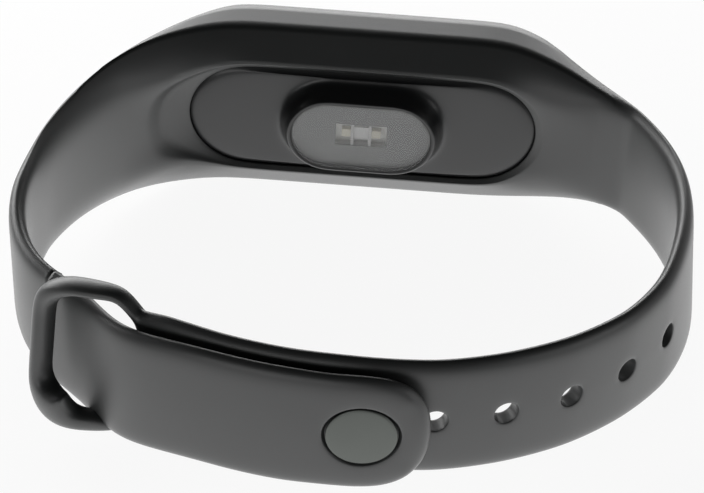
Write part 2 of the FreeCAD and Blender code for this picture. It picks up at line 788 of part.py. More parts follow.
def make_stud_tail():
    """The free end of the stud strap: a curved tongue with a round tip, a cap seat and a pin hole."""
    body = tail_body("stud_tail_body")
    lay = plan.front_radius + size("layer_gap")
    thick, width = size("strap_thick"), size("stud_strap_width")
    start = (size("tail_hinge") + size("stud_place") - size("tail_split")) / plan.front_radius
    end = width * 0.75 / plan.front_radius
    sketch = new_sketch(body, "0")
    arcs = []
    for r in (lay, lay + thick):
        circle = Part.Circle(Vector(0, 0), Vector(0, 0, 1), r)
        arcs.append(Part.ArcOfCircle(circle, -math.pi / 2 - start, -math.pi / 2 + end))
    inner, outer = (sketch.addGeometry(arc, False) for arc in arcs)
    ends = [[arc.StartPoint, arc.EndPoint] for arc in arcs]
    first = sketch.addGeometry(Part.LineSegment(ends[0][0], ends[1][0]), False)
    last = sketch.addGeometry(Part.LineSegment(ends[0][1], ends[1][1]), False)
    limits = Limits(sketch)
    for line, point in ((first, 1), (last, 2)):
        limits.add("Coincident", line, 1, inner, point)
        limits.add("Coincident", line, 2, outer, point)
    limits.add("Coincident", inner, 3, -1, 1)
    limits.add("Coincident", outer, 3, -1, 1)
    pad = extrude(body, "Pad", sketch, "stud_strap_width")
    pad.Midplane = True
    tip = new_sketch(body, "0", "XZ_Plane")
    far = width
    points = [Vector(0, -width / 2), Vector(far, -width / 2), Vector(far, width / 2), Vector(0, width / 2)]
    for a, b in zip(points[:-1], points[1:]):
        tip.addGeometry(Part.LineSegment(a, b), False)
    tip.addGeometry(
        Part.ArcOfCircle(
            Part.Circle(Vector(0, 0), Vector(0, 0, 1), width / 2), -math.pi / 2, math.pi / 2
        ),
        False,
    )
    limits = Limits(tip)
    limits.add("Coincident", 0, 2, 1, 1)
    limits.add("Coincident", 1, 2, 2, 1)
    limits.add("Coincident", 0, 1, 3, 1)
    limits.add("Coincident", 2, 2, 3, 2)
    limits.add("Coincident", 3, 3, -1, 1)
    limits.tie("Radius", (3,), "stud_strap_width / 2")
    pocket = body.newObject("PartDesign::Pocket", "stud_tail_pocket")
    pocket.Profile = tip
    pocket.Type = "ThroughAll"
    doc.recompute()
    if pocket.Shape.Volume > pad.Shape.Volume - 1:
        pocket.Reversed = True
        doc.recompute()
    hinge_x = (lay + thick) * math.sin(start)

    def along_face(edge):
        ends = [vertex.Point for vertex in edge.Vertexes]
        depths = [math.hypot(p.x, p.y) for p in ends]
        same = max(depths) - min(depths) < 0.05
        at_hinge = all(abs(p.x) > hinge_x * 0.93 and p.x < 0 for p in ends)
        return same and not at_hinge

    round_edges(body, "tail_round", along_face)
    return body, lay + thick


def make_stud():
    """The tail with its cap and pin. The cap lies in a seat; the pin ends in a head."""
    tail, face = make_stud_tail()
    axis = Placement(Vector(0, -face, 0), Rotation(Vector(1, 0, 0), 90))
    seat = size("cap_recess")
    pin_length = face - plan.front_radius + size("strap_thick") + size("layer_gap")

    def lathe(name, steps):
        """A turned solid about the stud axis; steps are (depth of its start, depth of its end, radius)."""
        rods = []
        for k, (near, far, expression) in enumerate(steps):
            rod = doc.addObject("Part::Cylinder", f"{name}_{k}")
            bind(rod, Radius=short(expression))
            rod.Height = far - near
            rod.Placement = tail.Placement * axis * Placement(Vector(0, 0, -far), Rotation())
            rods.append(rod)
        if len(rods) == 1:
            return rods[0]
        fused = doc.addObject("Part::MultiFuse", name)
        fused.Shapes = rods
        return fused

    edge = seat - size("cap_thick")
    steps = [
        (-seat, edge + size("cap_clear") * 2, "cap_diameter / 2 + cap_dish"),
        (edge, seat, "cap_diameter / 2 + cap_clear"),
    ]
    dish = lathe("cap_seat", steps)
    bore = lathe("pin_bore", [(0.0, seat + 2 * size("strap_thick"), "pin_diameter / 2 + pin_clear")])
    node(boolean("Cut", "stud_tail_cut", tail, [dish, bore]), "stud_tail")
    cap = lathe("cap_disc", [(edge, seat, "cap_diameter / 2")])
    node(cap, "stud_cap")
    head = size("pin_head_length")
    steps = [
        (seat, pin_length - head, "pin_diameter / 2"),
        (pin_length - head, pin_length, "pin_head_diameter / 2"),
    ]
    node(lathe("stud_pin", steps), "stud_pin")


# ---------------------------------------------------------------- capsule shells


def make_rear_shell():
    """The tub of the capsule with the sensor island on its wrist side."""
    body = new_body("rear_shell_body")
    full = ("capsule_length", "capsule_width")
    rear = ("0", "capsule_length - 2 * seat_chamfer", "capsule_width - 2 * seat_chamfer")
    taper(body, "Additive", rear, (CHAMFER_DEPTH, *full))
    add(body, draw_stadium, CHAMFER_DEPTH, f"shell_top - {CHAMFER_DEPTH}", *full)
    base = ("0", "island_base_length", "island_base_width")
    top = ("0 - island_height", "island_top_length", "island_top_width")
    taper(body, "Additive", base, top)
    cut(body, draw_stadium, LEDGE_TOP, f"shell_top - {LEDGE_TOP}", INSIDE_LENGTH, INSIDE_WIDTH)
    inner = [f"{INSIDE_LENGTH} - 2 * ledge_width", f"{INSIDE_WIDTH} - 2 * ledge_width"]
    cut(body, draw_stadium, "shell_floor", f"{LEDGE_TOP} - shell_floor", *inner)
    window = ["window_length + 2 * window_seal", "window_width + 2 * window_seal"]
    cut(body, draw_stadium, "0 - island_height", "window_thick", *window)
    mask = ["window_length", "window_width"]
    cut(body, draw_stadium, FILM_FACE, "mask_thick", *mask)
    chamber = [CHAMBER_LENGTH, CHAMBER_WIDTH]
    depth = "sensor_height + sensor_board_thick"
    cut(body, draw_stadium, CHAMBER_BASE, depth, *chamber)
    slot = ["2 * ribbon_bend", "flex_width + 4 * board_clear", f"0 - {SENSOR_LENGTH} / 2 - ribbon_bend / 2"]
    cut(body, draw_rectangle, SENSOR_BACK, f"shell_floor - {SENSOR_BACK}", *slot)
    wall = size("shell_wall")
    bore = "contact_diameter + 2 * contact_clear"
    bores = [place_contact(side, bore, wall * 1.5, -wall / 4) for side in (-1, 1)]
    item = boolean("Cut", "rear_shell_bored", body, bores)
    node(item, "rear_shell")


def contact_end(side_offset):
    """X of the capsule's end face at a distance from its middle line."""
    radius = size("capsule_width") / 2
    return size("capsule_length") / 2 - radius + math.sqrt(radius**2 - side_offset**2)


def place_contact(side, diameter, length, inset):
    """A rod along X through the right end of the capsule."""
    offset = size("contact_spacing") / 2
    rod = doc.addObject("Part::Cylinder", "contact")
    bind(rod, Radius=short(f"({diameter}) / 2"))
    rod.Height = length
    x = contact_end(offset + size("contact_diameter") / 2) - inset - length
    y = size("back_y") - size("capsule_setback") + size("contact_height")
    z = size("cradle_width") / 2 + side * offset
    rod.Placement = Placement(Vector(x, y, z), Rotation(Vector(0, 0, 1), Vector(1, 0, 0)))
    return rod


def make_contacts():
    length, inset = size("shell_wall") * 1.05, size("shell_wall") * 0.03
    rods = [place_contact(side, "contact_diameter", length, inset) for side in (-1, 1)]
    item = doc.addObject("Part::Compound", "charging_contacts")
    item.Links = rods
    node(item, "charging_contacts")


def make_front_cover():
    """The crowned cover with its dished touch key and the groove for the gasket."""
    body = new_body("front_cover_body")
    rise = "capsule_front - shell_top"
    add(body, draw_stadium, "shell_top", rise, "capsule_length", "capsule_width")
    side = new_sketch(body, "0", "XZ_Plane")
    half, edge, crown = size("capsule_length") * 0.51, size("cover_edge"), size("capsule_front")
    a, b = Vector(-half, edge), Vector(half, edge)
    lift = Vector(0, crown)
    for start, end in ((b, b + lift), (b + lift, a + lift), (a + lift, a)):
        side.addGeometry(Part.LineSegment(start, end), False)
    side.addGeometry(Part.Arc(a, Vector(0, crown), b), False)
    pocket = body.newObject("PartDesign::Pocket", "front_cover_crown")
    pocket.Profile = side
    pocket.Type = "ThroughAll"
    pocket.Midplane = True
    doc.recompute()
    top = size("cover_edge") - (crown - edge) / 2

    def upper(edge):
        box = edge.BoundBox
        return box.ZMin > top and box.XLength + box.YLength > size("cover_round")

    round_edges(body, "cover_round", upper)
    inside = ["capsule_length - 2 * cover_wall", "capsule_width - 2 * cover_wall"]
    cut(body, draw_stadium, "shell_top", "cover_ceiling - shell_top", *inside)
    rim = new_sketch(body, "shell_top")
    gap = "(cover_wall - seal_width)"
    draw_stadium(rim, f"capsule_length - {gap}", f"capsule_width - {gap}")
    draw_stadium(rim, f"capsule_length - {gap} - 2 * seal_width", f"capsule_width - {gap} - 2 * seal_width")
    extrude(body, "Pocket", rim, "seal_thick")
    ball = doc.addObject("Part::Sphere", "key_dish_ball")
    bind(ball, Radius=short("key_dish"))
    rise = crown - edge
    bend = (half * half + rise * rise) / (2 * rise)
    key_x = value(short(KEY_X))
    tilt = math.asin(key_x / bend)
    height = crown - bend * (1 - math.cos(tilt))
    away = math.sqrt(size("key_dish") ** 2 - (size("key_diameter") / 2) ** 2)
    spot = Vector(key_x + away * math.sin(tilt), 0, height + away * math.cos(tilt))
    ball.Placement = Placement(body.Placement.multVec(spot), Rotation())
    node(boolean("Cut", "front_cover_dished", body, [ball]), "front_cover")
    gasket = new_body("cover_gasket")
    ring = new_sketch(gasket, "shell_top")
    draw_stadium(ring, f"capsule_length - {gap}", f"capsule_width - {gap}")
    draw_stadium(ring, f"capsule_length - {gap} - 2 * seal_width", f"capsule_width - {gap} - 2 * seal_width")
    extrude(gasket, "Pad", ring, "seal_thick")
    node(gasket, "cover_gasket")


# ---------------------------------------------------------------- sensor


def make_sensor():
    """Window, seal, film, board, emitters, photodiode and the barrier between them."""
    height = "window_thick"
    glass = ["window_length", "window_width"]
    simple("sensor_window", draw_stadium, "0 - island_height", height, *glass)
    seal = new_body("window_seal")
    ring = new_sketch(seal, "0 - island_height + seal_recess")
    draw_stadium(ring, "window_length + 2 * window_seal", "window_width + 2 * window_seal")
    draw_stadium(ring, *glass)
    extrude(seal, "Pad", ring, "window_thick - seal_recess")
    node(seal, "window_seal")
    film = new_body("window_mask")
    add(film, draw_stadium, FILM_FACE, "mask_thick", *glass)
    cut(film, draw_rectangle, FILM_FACE, "mask_thick", "clear_length", "clear_width")
    node(film, "window_mask")
    board = [SENSOR_LENGTH, SENSOR_WIDTH]
    simple("sensor_board", draw_stadium, SENSOR_FACE, "sensor_board_thick", *board)
    leds = new_body("sensor_leds")
    pair = new_sketch(leds, SENSOR_FACE)
    for side in ("0 - ", ""):
        draw_rectangle(pair, "led_size", "led_size", f"{side}led_spacing / 2")
    extrude(leds, "Pad", pair, "led_height", up=False)
    node(leds, "sensor_leds")
    diode = new_body("photodiode")
    add(diode, draw_rectangle, SENSOR_FACE, "diode_height", "diode_size", "diode_size", up=False)
    node(diode, "photodiode")
    barrier = new_body("light_barrier")
    wall = "2 * barrier_wall"
    height = "sensor_height"
    add(barrier, draw_rectangle, CHAMBER_BASE, height, f"clear_length + {wall}", f"clear_width + {wall}")
    cut(barrier, draw_rectangle, CHAMBER_BASE, height, "clear_length", "clear_width")
    rib = "barrier_wall * 0.7"
    for side in ("0 - ", ""):
        place = f"{side}(led_spacing / 2 + diode_size / 2 - led_size / 2) / 2"
        add(barrier, draw_rectangle, CHAMBER_BASE, height, rib, "clear_width + barrier_wall", place)
    node(barrier, "light_barrier")


def ribbon(label, width, points):
    """A flat ribbon that follows square bends; points are (x, depth) along its middle."""
    body = new_body(label)
    half = size("flex_thick") / 2
    for (x0, z0), (x1, z1) in zip(points[:-1], points[1:]):
        sketch = new_sketch(body, f"{min(z0, z1) - half}")
        span = f"{abs(x1 - x0) + 2 * half}"
        draw_rectangle(sketch, span, width, f"{(x0 + x1) / 2}")
        extrude(body, "Pad", sketch, f"{abs(z1 - z0) + 2 * half}")
    return node(body, label)


def make_boards():
    """Main board with its parts, and the ribbons to the sensor and the display."""
    clear = "2 * board_clear"
    board = [f"{INSIDE_LENGTH} - {clear}", f"{INSIDE_WIDTH} - {clear}"]
    simple("main_board", draw_stadium, LEDGE_TOP, "board_thick", *board)
    chip = ["chip_size", "chip_size", CHIP_X]
    simple("processor", draw_rectangle, BOARD_TOP, "chip_thick", *chip)
    memory = ["memory_length", "memory_width", CHIP_X]
    under = "board_ledge - memory_thick"
    simple("memory_chip", draw_rectangle, under, "memory_thick", *memory)
    motion = ["motion_size", "motion_size", "panel_length / 2 + frame_wall + motion_size"]
    simple("motion_sensor", draw_rectangle, BOARD_TOP, "motion_thick", *motion)
    antenna = ["antenna_width", "antenna_length", f"{KEY_X} + antenna_width * 1.25"]
    simple("antenna", draw_rectangle, BOARD_TOP, "antenna_thick", *antenna)
    half = size("flex_thick") / 2
    back = value(short(SENSOR_BACK)) + half
    x, out = -value(short(SENSOR_LENGTH)) / 2, value(short(RIBBON_X))
    low = size("board_ledge") - half
    bend = size("ribbon_bend")
    inner = x + bend / 2 - size("flex_thick")
    ribbon("sensor_cable", "flex_width", [(inner, back), (out, back), (out, low)])
    side = -size("panel_length") / 2 - half
    top = value(short(BOARD_TOP)) + half
    turn = side - size("frame_wall") - bend
    high = top + size("panel_thick") * 0.8
    ribbon("display_cable", "flex_width", [(side, high), (turn, high), (turn, top)])


def make_display():
    """The panel in its frame, under the cover."""
    floor = f"(cover_ceiling - {BOARD_TOP} - panel_thick)"
    around = "2 * (frame_wall + panel_clear)"
    frame = new_body("display_frame")
    outer = [f"panel_length + {around}", f"panel_width + {around}"]
    add(frame, draw_rectangle, BOARD_TOP, f"cover_ceiling - {BOARD_TOP} - board_clear", *outer)
    pocket = ["panel_length + 2 * panel_clear", "panel_width + 2 * panel_clear"]
    cut(frame, draw_rectangle, f"{BOARD_TOP} + {floor}", "panel_thick", *pocket)
    notch = ["2 * frame_wall", "flex_width + 2 * board_clear", "0 - (panel_length + 2 * frame_wall) / 2"]
    cut(frame, draw_rectangle, f"{BOARD_TOP} + {floor}", "panel_thick", *notch)
    node(frame, "display_frame")
    panel = ["panel_length", "panel_width"]
    simple("display_panel", draw_rectangle, f"{BOARD_TOP} + {floor}", "panel_thick", *panel)
    level = "cover_ceiling - touch_thick"
    spot = ["touch_diameter", KEY_X]
    simple("touch_electrode", draw_circle, level, "touch_thick", *spot)


def make_battery():
    """The cell on its pad, with tabs to a protection board beside it."""
    middle = f"({CELL_START} + {CELL_END}) / 2"
    length = f"({CELL_END} - {CELL_START})"
    area = [f"{length} - 3 * battery_round", f"{CELL_WIDTH} - 3 * battery_round", middle]
    simple("battery_pad", draw_rectangle, "shell_floor", "pad_thick", *area)
    cell = new_body("battery")
    add(cell, draw_rectangle, CELL_BASE, "battery_thick", length, CELL_WIDTH, middle)
    round_edges(cell, "battery_round", lambda edge: edge.BoundBox.ZLength < 0.01)
    node(cell, "battery")
    guard_x = f"{CELL_START} - guard_gap - guard_length / 2"
    level = f"{CELL_BASE} + battery_thick / 2"
    board = ["guard_length", f"{CELL_WIDTH} - guard_length", guard_x]
    simple("protection_board", draw_rectangle, f"{level} - guard_thick", "guard_thick", *board)
    tabs = new_body("battery_tabs")
    pair = new_sketch(tabs, level)
    for side in ("0 - ", ""):
        length = "guard_gap + guard_length / 2"
        draw_rectangle(pair, length, "tab_width", f"{CELL_START} - ({length}) / 2", f"{side}tab_spacing / 2")
    extrude(tabs, "Pad", pair, "tab_thick")
    node(tabs, "battery_tabs")


def make_motor():
    """A flat vibration motor: base, can, shaft and an eccentric rotor."""
    x = MOTOR_X
    can = new_body("motor_can")
    base = "(shell_floor + motor_wall)"
    inner = "motor_diameter - 2 * motor_wall"
    add(can, draw_circle, base, "motor_height - motor_wall", "motor_diameter", x)
    cut(can, draw_circle, base, "motor_height - 2 * motor_wall", inner, x)
    node(can, "motor_can")
    simple("motor_base", draw_circle, "shell_floor", "motor_wall", "motor_diameter", x)
    simple("motor_shaft", draw_circle, base, "motor_height - 2 * motor_wall", "motor_shaft", x)
    rotor = new_body("motor_rotor")
    level = f"{base} + (motor_height - 2 * motor_wall - rotor_thick) / 2"
    add(rotor, draw_circle, level, "rotor_thick", "2 * rotor_radius", x)
    half = ["2.5 * rotor_radius", "1.3 * rotor_radius", x, "0 - 0.75 * rotor_radius"]
    cut(rotor, draw_rectangle, level, "rotor_thick", *half)
    add(rotor, draw_circle, level, "rotor_thick", "2 * rotor_hub", x)
    cut(rotor, draw_circle, level, "rotor_thick", "motor_shaft + 2 * rotor_clear", x)
    node(rotor, "motor_rotor")


def check():
    """Stops on any object in error and on any bad shape."""
    doc.recompute()
    for item in doc.Objects:
        if "Invalid" in item.State or "Error" in item.State:
            raise RuntimeError(f"{item.Label}: {item.State}")
    for item in NODES:
        shape = item.Shape
        if shape.isNull() or not shape.isValid() or not shape.Solids:
            raise RuntimeError(f"bad shape: {item.Label}")


def export():
    os.makedirs("parts", exist_ok=True)
    for item in NODES:
        item.Shape.exportStep(f"parts/{item.Label}.step")


make_wristband()
make_stud()
make_rear_shell()
make_contacts()
make_front_cover()
make_sensor()
make_boards()
make_display()
make_battery()
make_motor()
check()
export()
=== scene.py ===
"""Fitness tracker band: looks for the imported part, laid out as a Blender add-on and run as a script.

Frame: +Z runs along the wrist hole and the band lies on its edge at Z 0. +Y points from the clasp to the
capsule, and +X along the capsule. All lengths are metres.
"""

import math

import bmesh
import bpy
from bpy.props import FloatProperty, FloatVectorProperty, IntProperty, PointerProperty
from mathutils import Matrix, Vector


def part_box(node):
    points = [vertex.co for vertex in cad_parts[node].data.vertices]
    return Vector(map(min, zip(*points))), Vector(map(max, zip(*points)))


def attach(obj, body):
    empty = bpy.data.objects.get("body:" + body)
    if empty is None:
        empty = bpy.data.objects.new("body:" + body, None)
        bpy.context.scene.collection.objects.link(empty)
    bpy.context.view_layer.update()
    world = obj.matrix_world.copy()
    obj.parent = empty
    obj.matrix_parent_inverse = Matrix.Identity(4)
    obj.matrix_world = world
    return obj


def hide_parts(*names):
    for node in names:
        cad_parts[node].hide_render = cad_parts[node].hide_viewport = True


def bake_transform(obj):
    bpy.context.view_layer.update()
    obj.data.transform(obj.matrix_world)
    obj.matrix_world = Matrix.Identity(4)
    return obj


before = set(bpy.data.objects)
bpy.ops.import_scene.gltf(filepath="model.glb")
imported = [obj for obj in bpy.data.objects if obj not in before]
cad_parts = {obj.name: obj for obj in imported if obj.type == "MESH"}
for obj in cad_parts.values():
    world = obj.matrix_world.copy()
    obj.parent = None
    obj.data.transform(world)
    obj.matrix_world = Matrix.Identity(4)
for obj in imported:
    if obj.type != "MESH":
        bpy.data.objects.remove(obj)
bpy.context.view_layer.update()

bl_info = {
    "name": "Fitness tracker band",
    "version": (1, 0, 0),
    "blender": (4, 5, 0),
    "location": "View3D > Sidebar > Tracker",
    "description": "Wristband with loop and stud clasp, and the sensor capsule it holds",
    "category": "Object",
}

MM = 0.001
COLUMNS = 18
# rings of the left side, the straight cradle and each shoulder
SIDE_RINGS = 9
CRADLE_RINGS = 5
SHOULDER_RINGS = 7
# edges carried on from an opening keep their station, shifted by a multiple of this
SHIFT = 1000
# a cubic curve through the corners of an octagon lies at this share of their radius
OCTAGON_DRAW = (2 + math.cos(math.pi / 4)) / 3
# section of the loop, as shares of its width and thickness, from the inner side outwards
LOOP_PROFILE = ((-0.42, 0.5), (0.24, 0.5), (0.5, 0.2), (0.5, -0.2), (0.24, -0.5), (-0.42, -0.5))


def length(name, note, value, **more):
    """A length property, given in millimetres and kept in metres."""
    return FloatProperty(name=name, description=note, default=value * MM, unit="LENGTH", precision=5, **more)


def span(name, note, low, high):
    """Two arc lengths, given in millimetres and kept in metres."""
    return FloatVectorProperty(
        name=name, description=note, default=(low * MM, high * MM), size=2, unit="LENGTH", precision=5
    )


def tone(name, note, value):
    """A colour property in linear light."""
    return FloatVectorProperty(
        name=name, description=note, default=value, size=3, min=0.0, max=1.0, subtype="COLOR"
    )


def turn(name, note, value):
    """An angle property, given in degrees."""
    return FloatProperty(name=name, description=note, default=math.radians(value), subtype="ANGLE")


def box_size(node, axis):
    """Length of a frame node along an axis, in millimetres."""
    low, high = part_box(node)
    return (high[axis] - low[axis]) / MM


class TrackerSizes(bpy.types.PropertyGroup):
    """Sizes of the band and the capsule. The soft band isn't quite the same on both sides."""

    back_y: length("Back", "Outer face of the cradle", 27.95)
    front_y: length("Front", "Outer face at the clasp", -26.95)
    front_radius: length("Front bend", "Wide arc at the clasp", 42.0)
    front_shift: length("Front shift", "How far the clasp sits to the right of the capsule", 1.0)
    front_onset: length("Front shift onset", "Depth over which that shift sets in, from the rim", 12.0)
    corner_radius: length("Corner", "Bend at each end of the cradle", 5.0)
    flat_right: length("Flat, right", "Straight stretch behind the capsule", 16.4)
    flat_left: length("Flat, left", "Straight stretch behind the capsule", 13.5)
    corner_turn_right: turn("Corner turn, right", "How far the corner turns", 33.9)
    corner_turn_left: turn("Corner turn, left", "How far the corner turns", 33.6)
    shoulder_radius_right: length("Shoulder, right", "Long bend from the cradle to the side", 44.0)
    shoulder_radius_left: length("Shoulder, left", "Long bend from the cradle to the side", 41.0)
    shoulder_turn_right: turn("Shoulder turn, right", "How far the shoulder turns", 12.0)
    shoulder_turn_left: turn("Shoulder turn, left", "How far the shoulder turns", 48.6)
    taper_end_right: length("Taper end, right", "X at which the taper to the strap ends", 28.0)
    taper_end_left: length("Taper end, left", "X at which the taper to the strap ends", 42.0)
    taper_fade: length("Taper fade", "Depth over which what is left of the taper fades", 14.0)
    rim_reach_right: FloatProperty(name="Rim reach, right", description="Share of the shoulder", default=1.59)
    rim_reach_left: FloatProperty(name="Rim reach, left", description="Share of the shoulder", default=0.93)
    lean_right: turn("Lean, right", "How far the lower edge of the side leans out", 7.0)
    lean_left: turn("Lean, left", "How far the lower edge of the side leans out", -7.0)
    full_right: length("Fullness, right", "How far the side bulges past its arcs", 0.4)
    full_left: length("Fullness, left", "How far the shoulder bulges past its arcs", 0.5)
    full_rise_right: span("Fullness start, right", "From the middle of the back", 24, 40)
    full_rise_left: span("Fullness start, left", "From the middle of the back", 22, 34)
    full_fall_right: span("Fullness end, right", "From the middle of the back", 62, 78)
    full_fall_left: span("Fullness end, left", "From the middle of the back", 38, 50)
    lean_onset: length("Lean onset", "Length over which the lean sets in behind the shoulder", 22.0)
    lean_fade: span("Lean fade", "From the middle of the front", 28, 46)
    sag: length("Sag", "How far the stud strap hangs lower at the loop", 1.6)
    sag_rise: span("Sag start", "From the middle of the front", 12, 27)
    sag_fade: length("Sag fade", "Length over which the sag ends at the shoulder", 14.0)
    hole_rise: length("Hole strap rise", "How far the hole strap sits higher behind the stud strap", 0.65)
    hole_rise_start: span("Start of that rise", "From the middle of the front", -12, 2)
    hole_rise_end: span("End of that rise", "From the middle of the front", 17, 21)
    width: length("Cradle width", "Across the cradle", 20.2)
    depth: length("Cradle depth", "Outer face to the rim on the wrist side", 7.7)
    cradle_flat: length("Cradle flat", "Half length with the full section", 13.2)
    edge_across: length("Edge, across", "Rounding of the cradle's outer edge, across", 1.3)
    edge_depth: length("Edge, in depth", "The same rounding, in depth", 1.0)
    slope_width: length("Slope width", "Slope on the wrist side of the cradle, across", 3.3)
    slope_drop: length("Slope depth", "The same slope, in depth", 2.6)
    stud_strap: length("Stud strap", "Width of the strap that carries the stud", 13.8)
    hole_strap: length("Hole strap", "Width of the strap that carries the holes", 13.5)
    thick: length("Strap thickness", "Thickness of both straps", 1.8)
    layer_gap: length("Layer gap", "Air between the two straps", 0.3)
    hole: length("Hole", "Diameter of an adjusting hole", 2.5)
    pitch: length("Hole pitch", "From hole to hole", 7.0)
    holes: IntProperty(name="Holes", description="Number of adjusting holes", default=9)
    hole_in_use: IntProperty(name="Hole in use", description="Counted from the loop", default=4)
    stud: length("Stud place", "Arc length from the middle of the front to the stud", 1.8)
    loop_start: length("Loop start", "Arc length to the end of the hole strap", 20.7)
    loop_slot: length("Loop slot", "Length of the slot in the loop", 8.7)
    loop_bar: length("Loop bar", "Width of the end bar", 2.1)
    loop_leg: length("Loop leg", "Width of each side of the loop", 1.25)
    loop_thick: length("Loop thickness", "Thickness of the loop", 2.6)
    loop_lean: turn("Loop lean", "How far the lower side of the loop stands out", 6.0)
    loop_drop: length("Loop drop", "How far the loop sits below the middle of the hole strap", 0.4)
    strap_split: length("Strap split", "Arc length at which the free end of the stud strap starts", 32.2)
    loop_web: length("Loop web", "Fill of the loop's lower inner corner", 3.2)
    loop_web_upper: FloatProperty(name="Upper web", description="Its share in the upper corner", default=0.2)
    loop_clear: length("Loop clearance", "Between the loop and the strap in it", 0.6)
    loop_rise: length("Loop rise", "Middle of the end bar over the outer line", 2.3)
    hinge: length("Tail bend", "Arc length at which the free tail bends", 15.5)
    bend_reach: length("Bend reach", "Half the length over which the tail bends", 2.2)
    cap: length("Stud cap", "Diameter of the stud cap", 7.0)
    seat_clear: length("Seat rim", "Edge of the seat of the cap beyond the cap", 0.35)
    setback: length("Setback", "Outer face of the cradle to the rear face of the capsule", 7.1)
    seat_chamfer: length("Seat chamfer", "Chamfer of the capsule's rear edge", 1.6)
    capsule_clear: length("Capsule clearance", "Between the capsule and the cradle", 0.15)
    lip_land: length("Lip land", "Blunt edge of the lip that holds the capsule", 0.15)
    lip_flare: FloatProperty(name="Lip flare", description="Flare of the lip per unit of depth", default=1.4)
    mouth_hollow: length("Mouth hollow", "How far the flare of the mouth is hollowed", 0.8)
    mouth_reach: length("Mouth reach", "Furthest edge of the flared mouth from the line of centres", 10.9)
    shell_top: length("Shell top", "Rear face to the joint with the cover", 5.6)
    shell_wall: length("Shell wall", "Side wall of the capsule", 1.6)
    crown: length("Crown", "How far the rear face swells between its edge and the island", 0.45)
    island: length("Island height", "Sensor island over the rear face", 3.0)
    island_length: length("Island length", "At its top", 15.9)
    island_width: length("Island width", "At its top", 9.1)
    window_length: length("Window length", "Glass of the sensor window", box_size("sensor_window", 0))
    window_width: length("Window width", "Glass of the sensor window", box_size("sensor_window", 2))
    window_thick: length("Window thickness", "Glass of the sensor window", box_size("sensor_window", 1))
    seal_line: length("Seal line", "Width of the groove round the glass, for its seal", 0.14)


class TrackerColours(bpy.types.PropertyGroup):
    """Colours of the visible finishes."""

    strap: tone("Strap", "Elastomer of the band", (0.015, 0.016, 0.016))
    stud: tone("Stud", "Satin metal of the stud", (0.075, 0.08, 0.075))
    shell: tone("Shell", "Moulded shell of the capsule", (0.009, 0.0094, 0.0098))
    glass: tone("Window", "Smoked sensor window", (0.18, 0.182, 0.182))


def sizes():
    return bpy.context.scene.tracker_sizes


def colours():
    return bpy.context.scene.tracker_colours


# ---------------------------------------------------------------- plan of the band


def smooth(value, low, high):
    """0 below low, 1 above high, and a smooth step between."""
    share = min(max((value - low) / (high - low), 0.0), 1.0)
    return share * share * (3 - 2 * share)


def blend(a, b, share):
    return a + (b - a) * share


def arc_step(radius, start, step):
    """Move along an arc that turns clockwise from a heading."""
    along, down = math.sin(start + step) - math.sin(start), math.cos(start + step) - math.cos(start)
    return Vector((along, down)) * radius


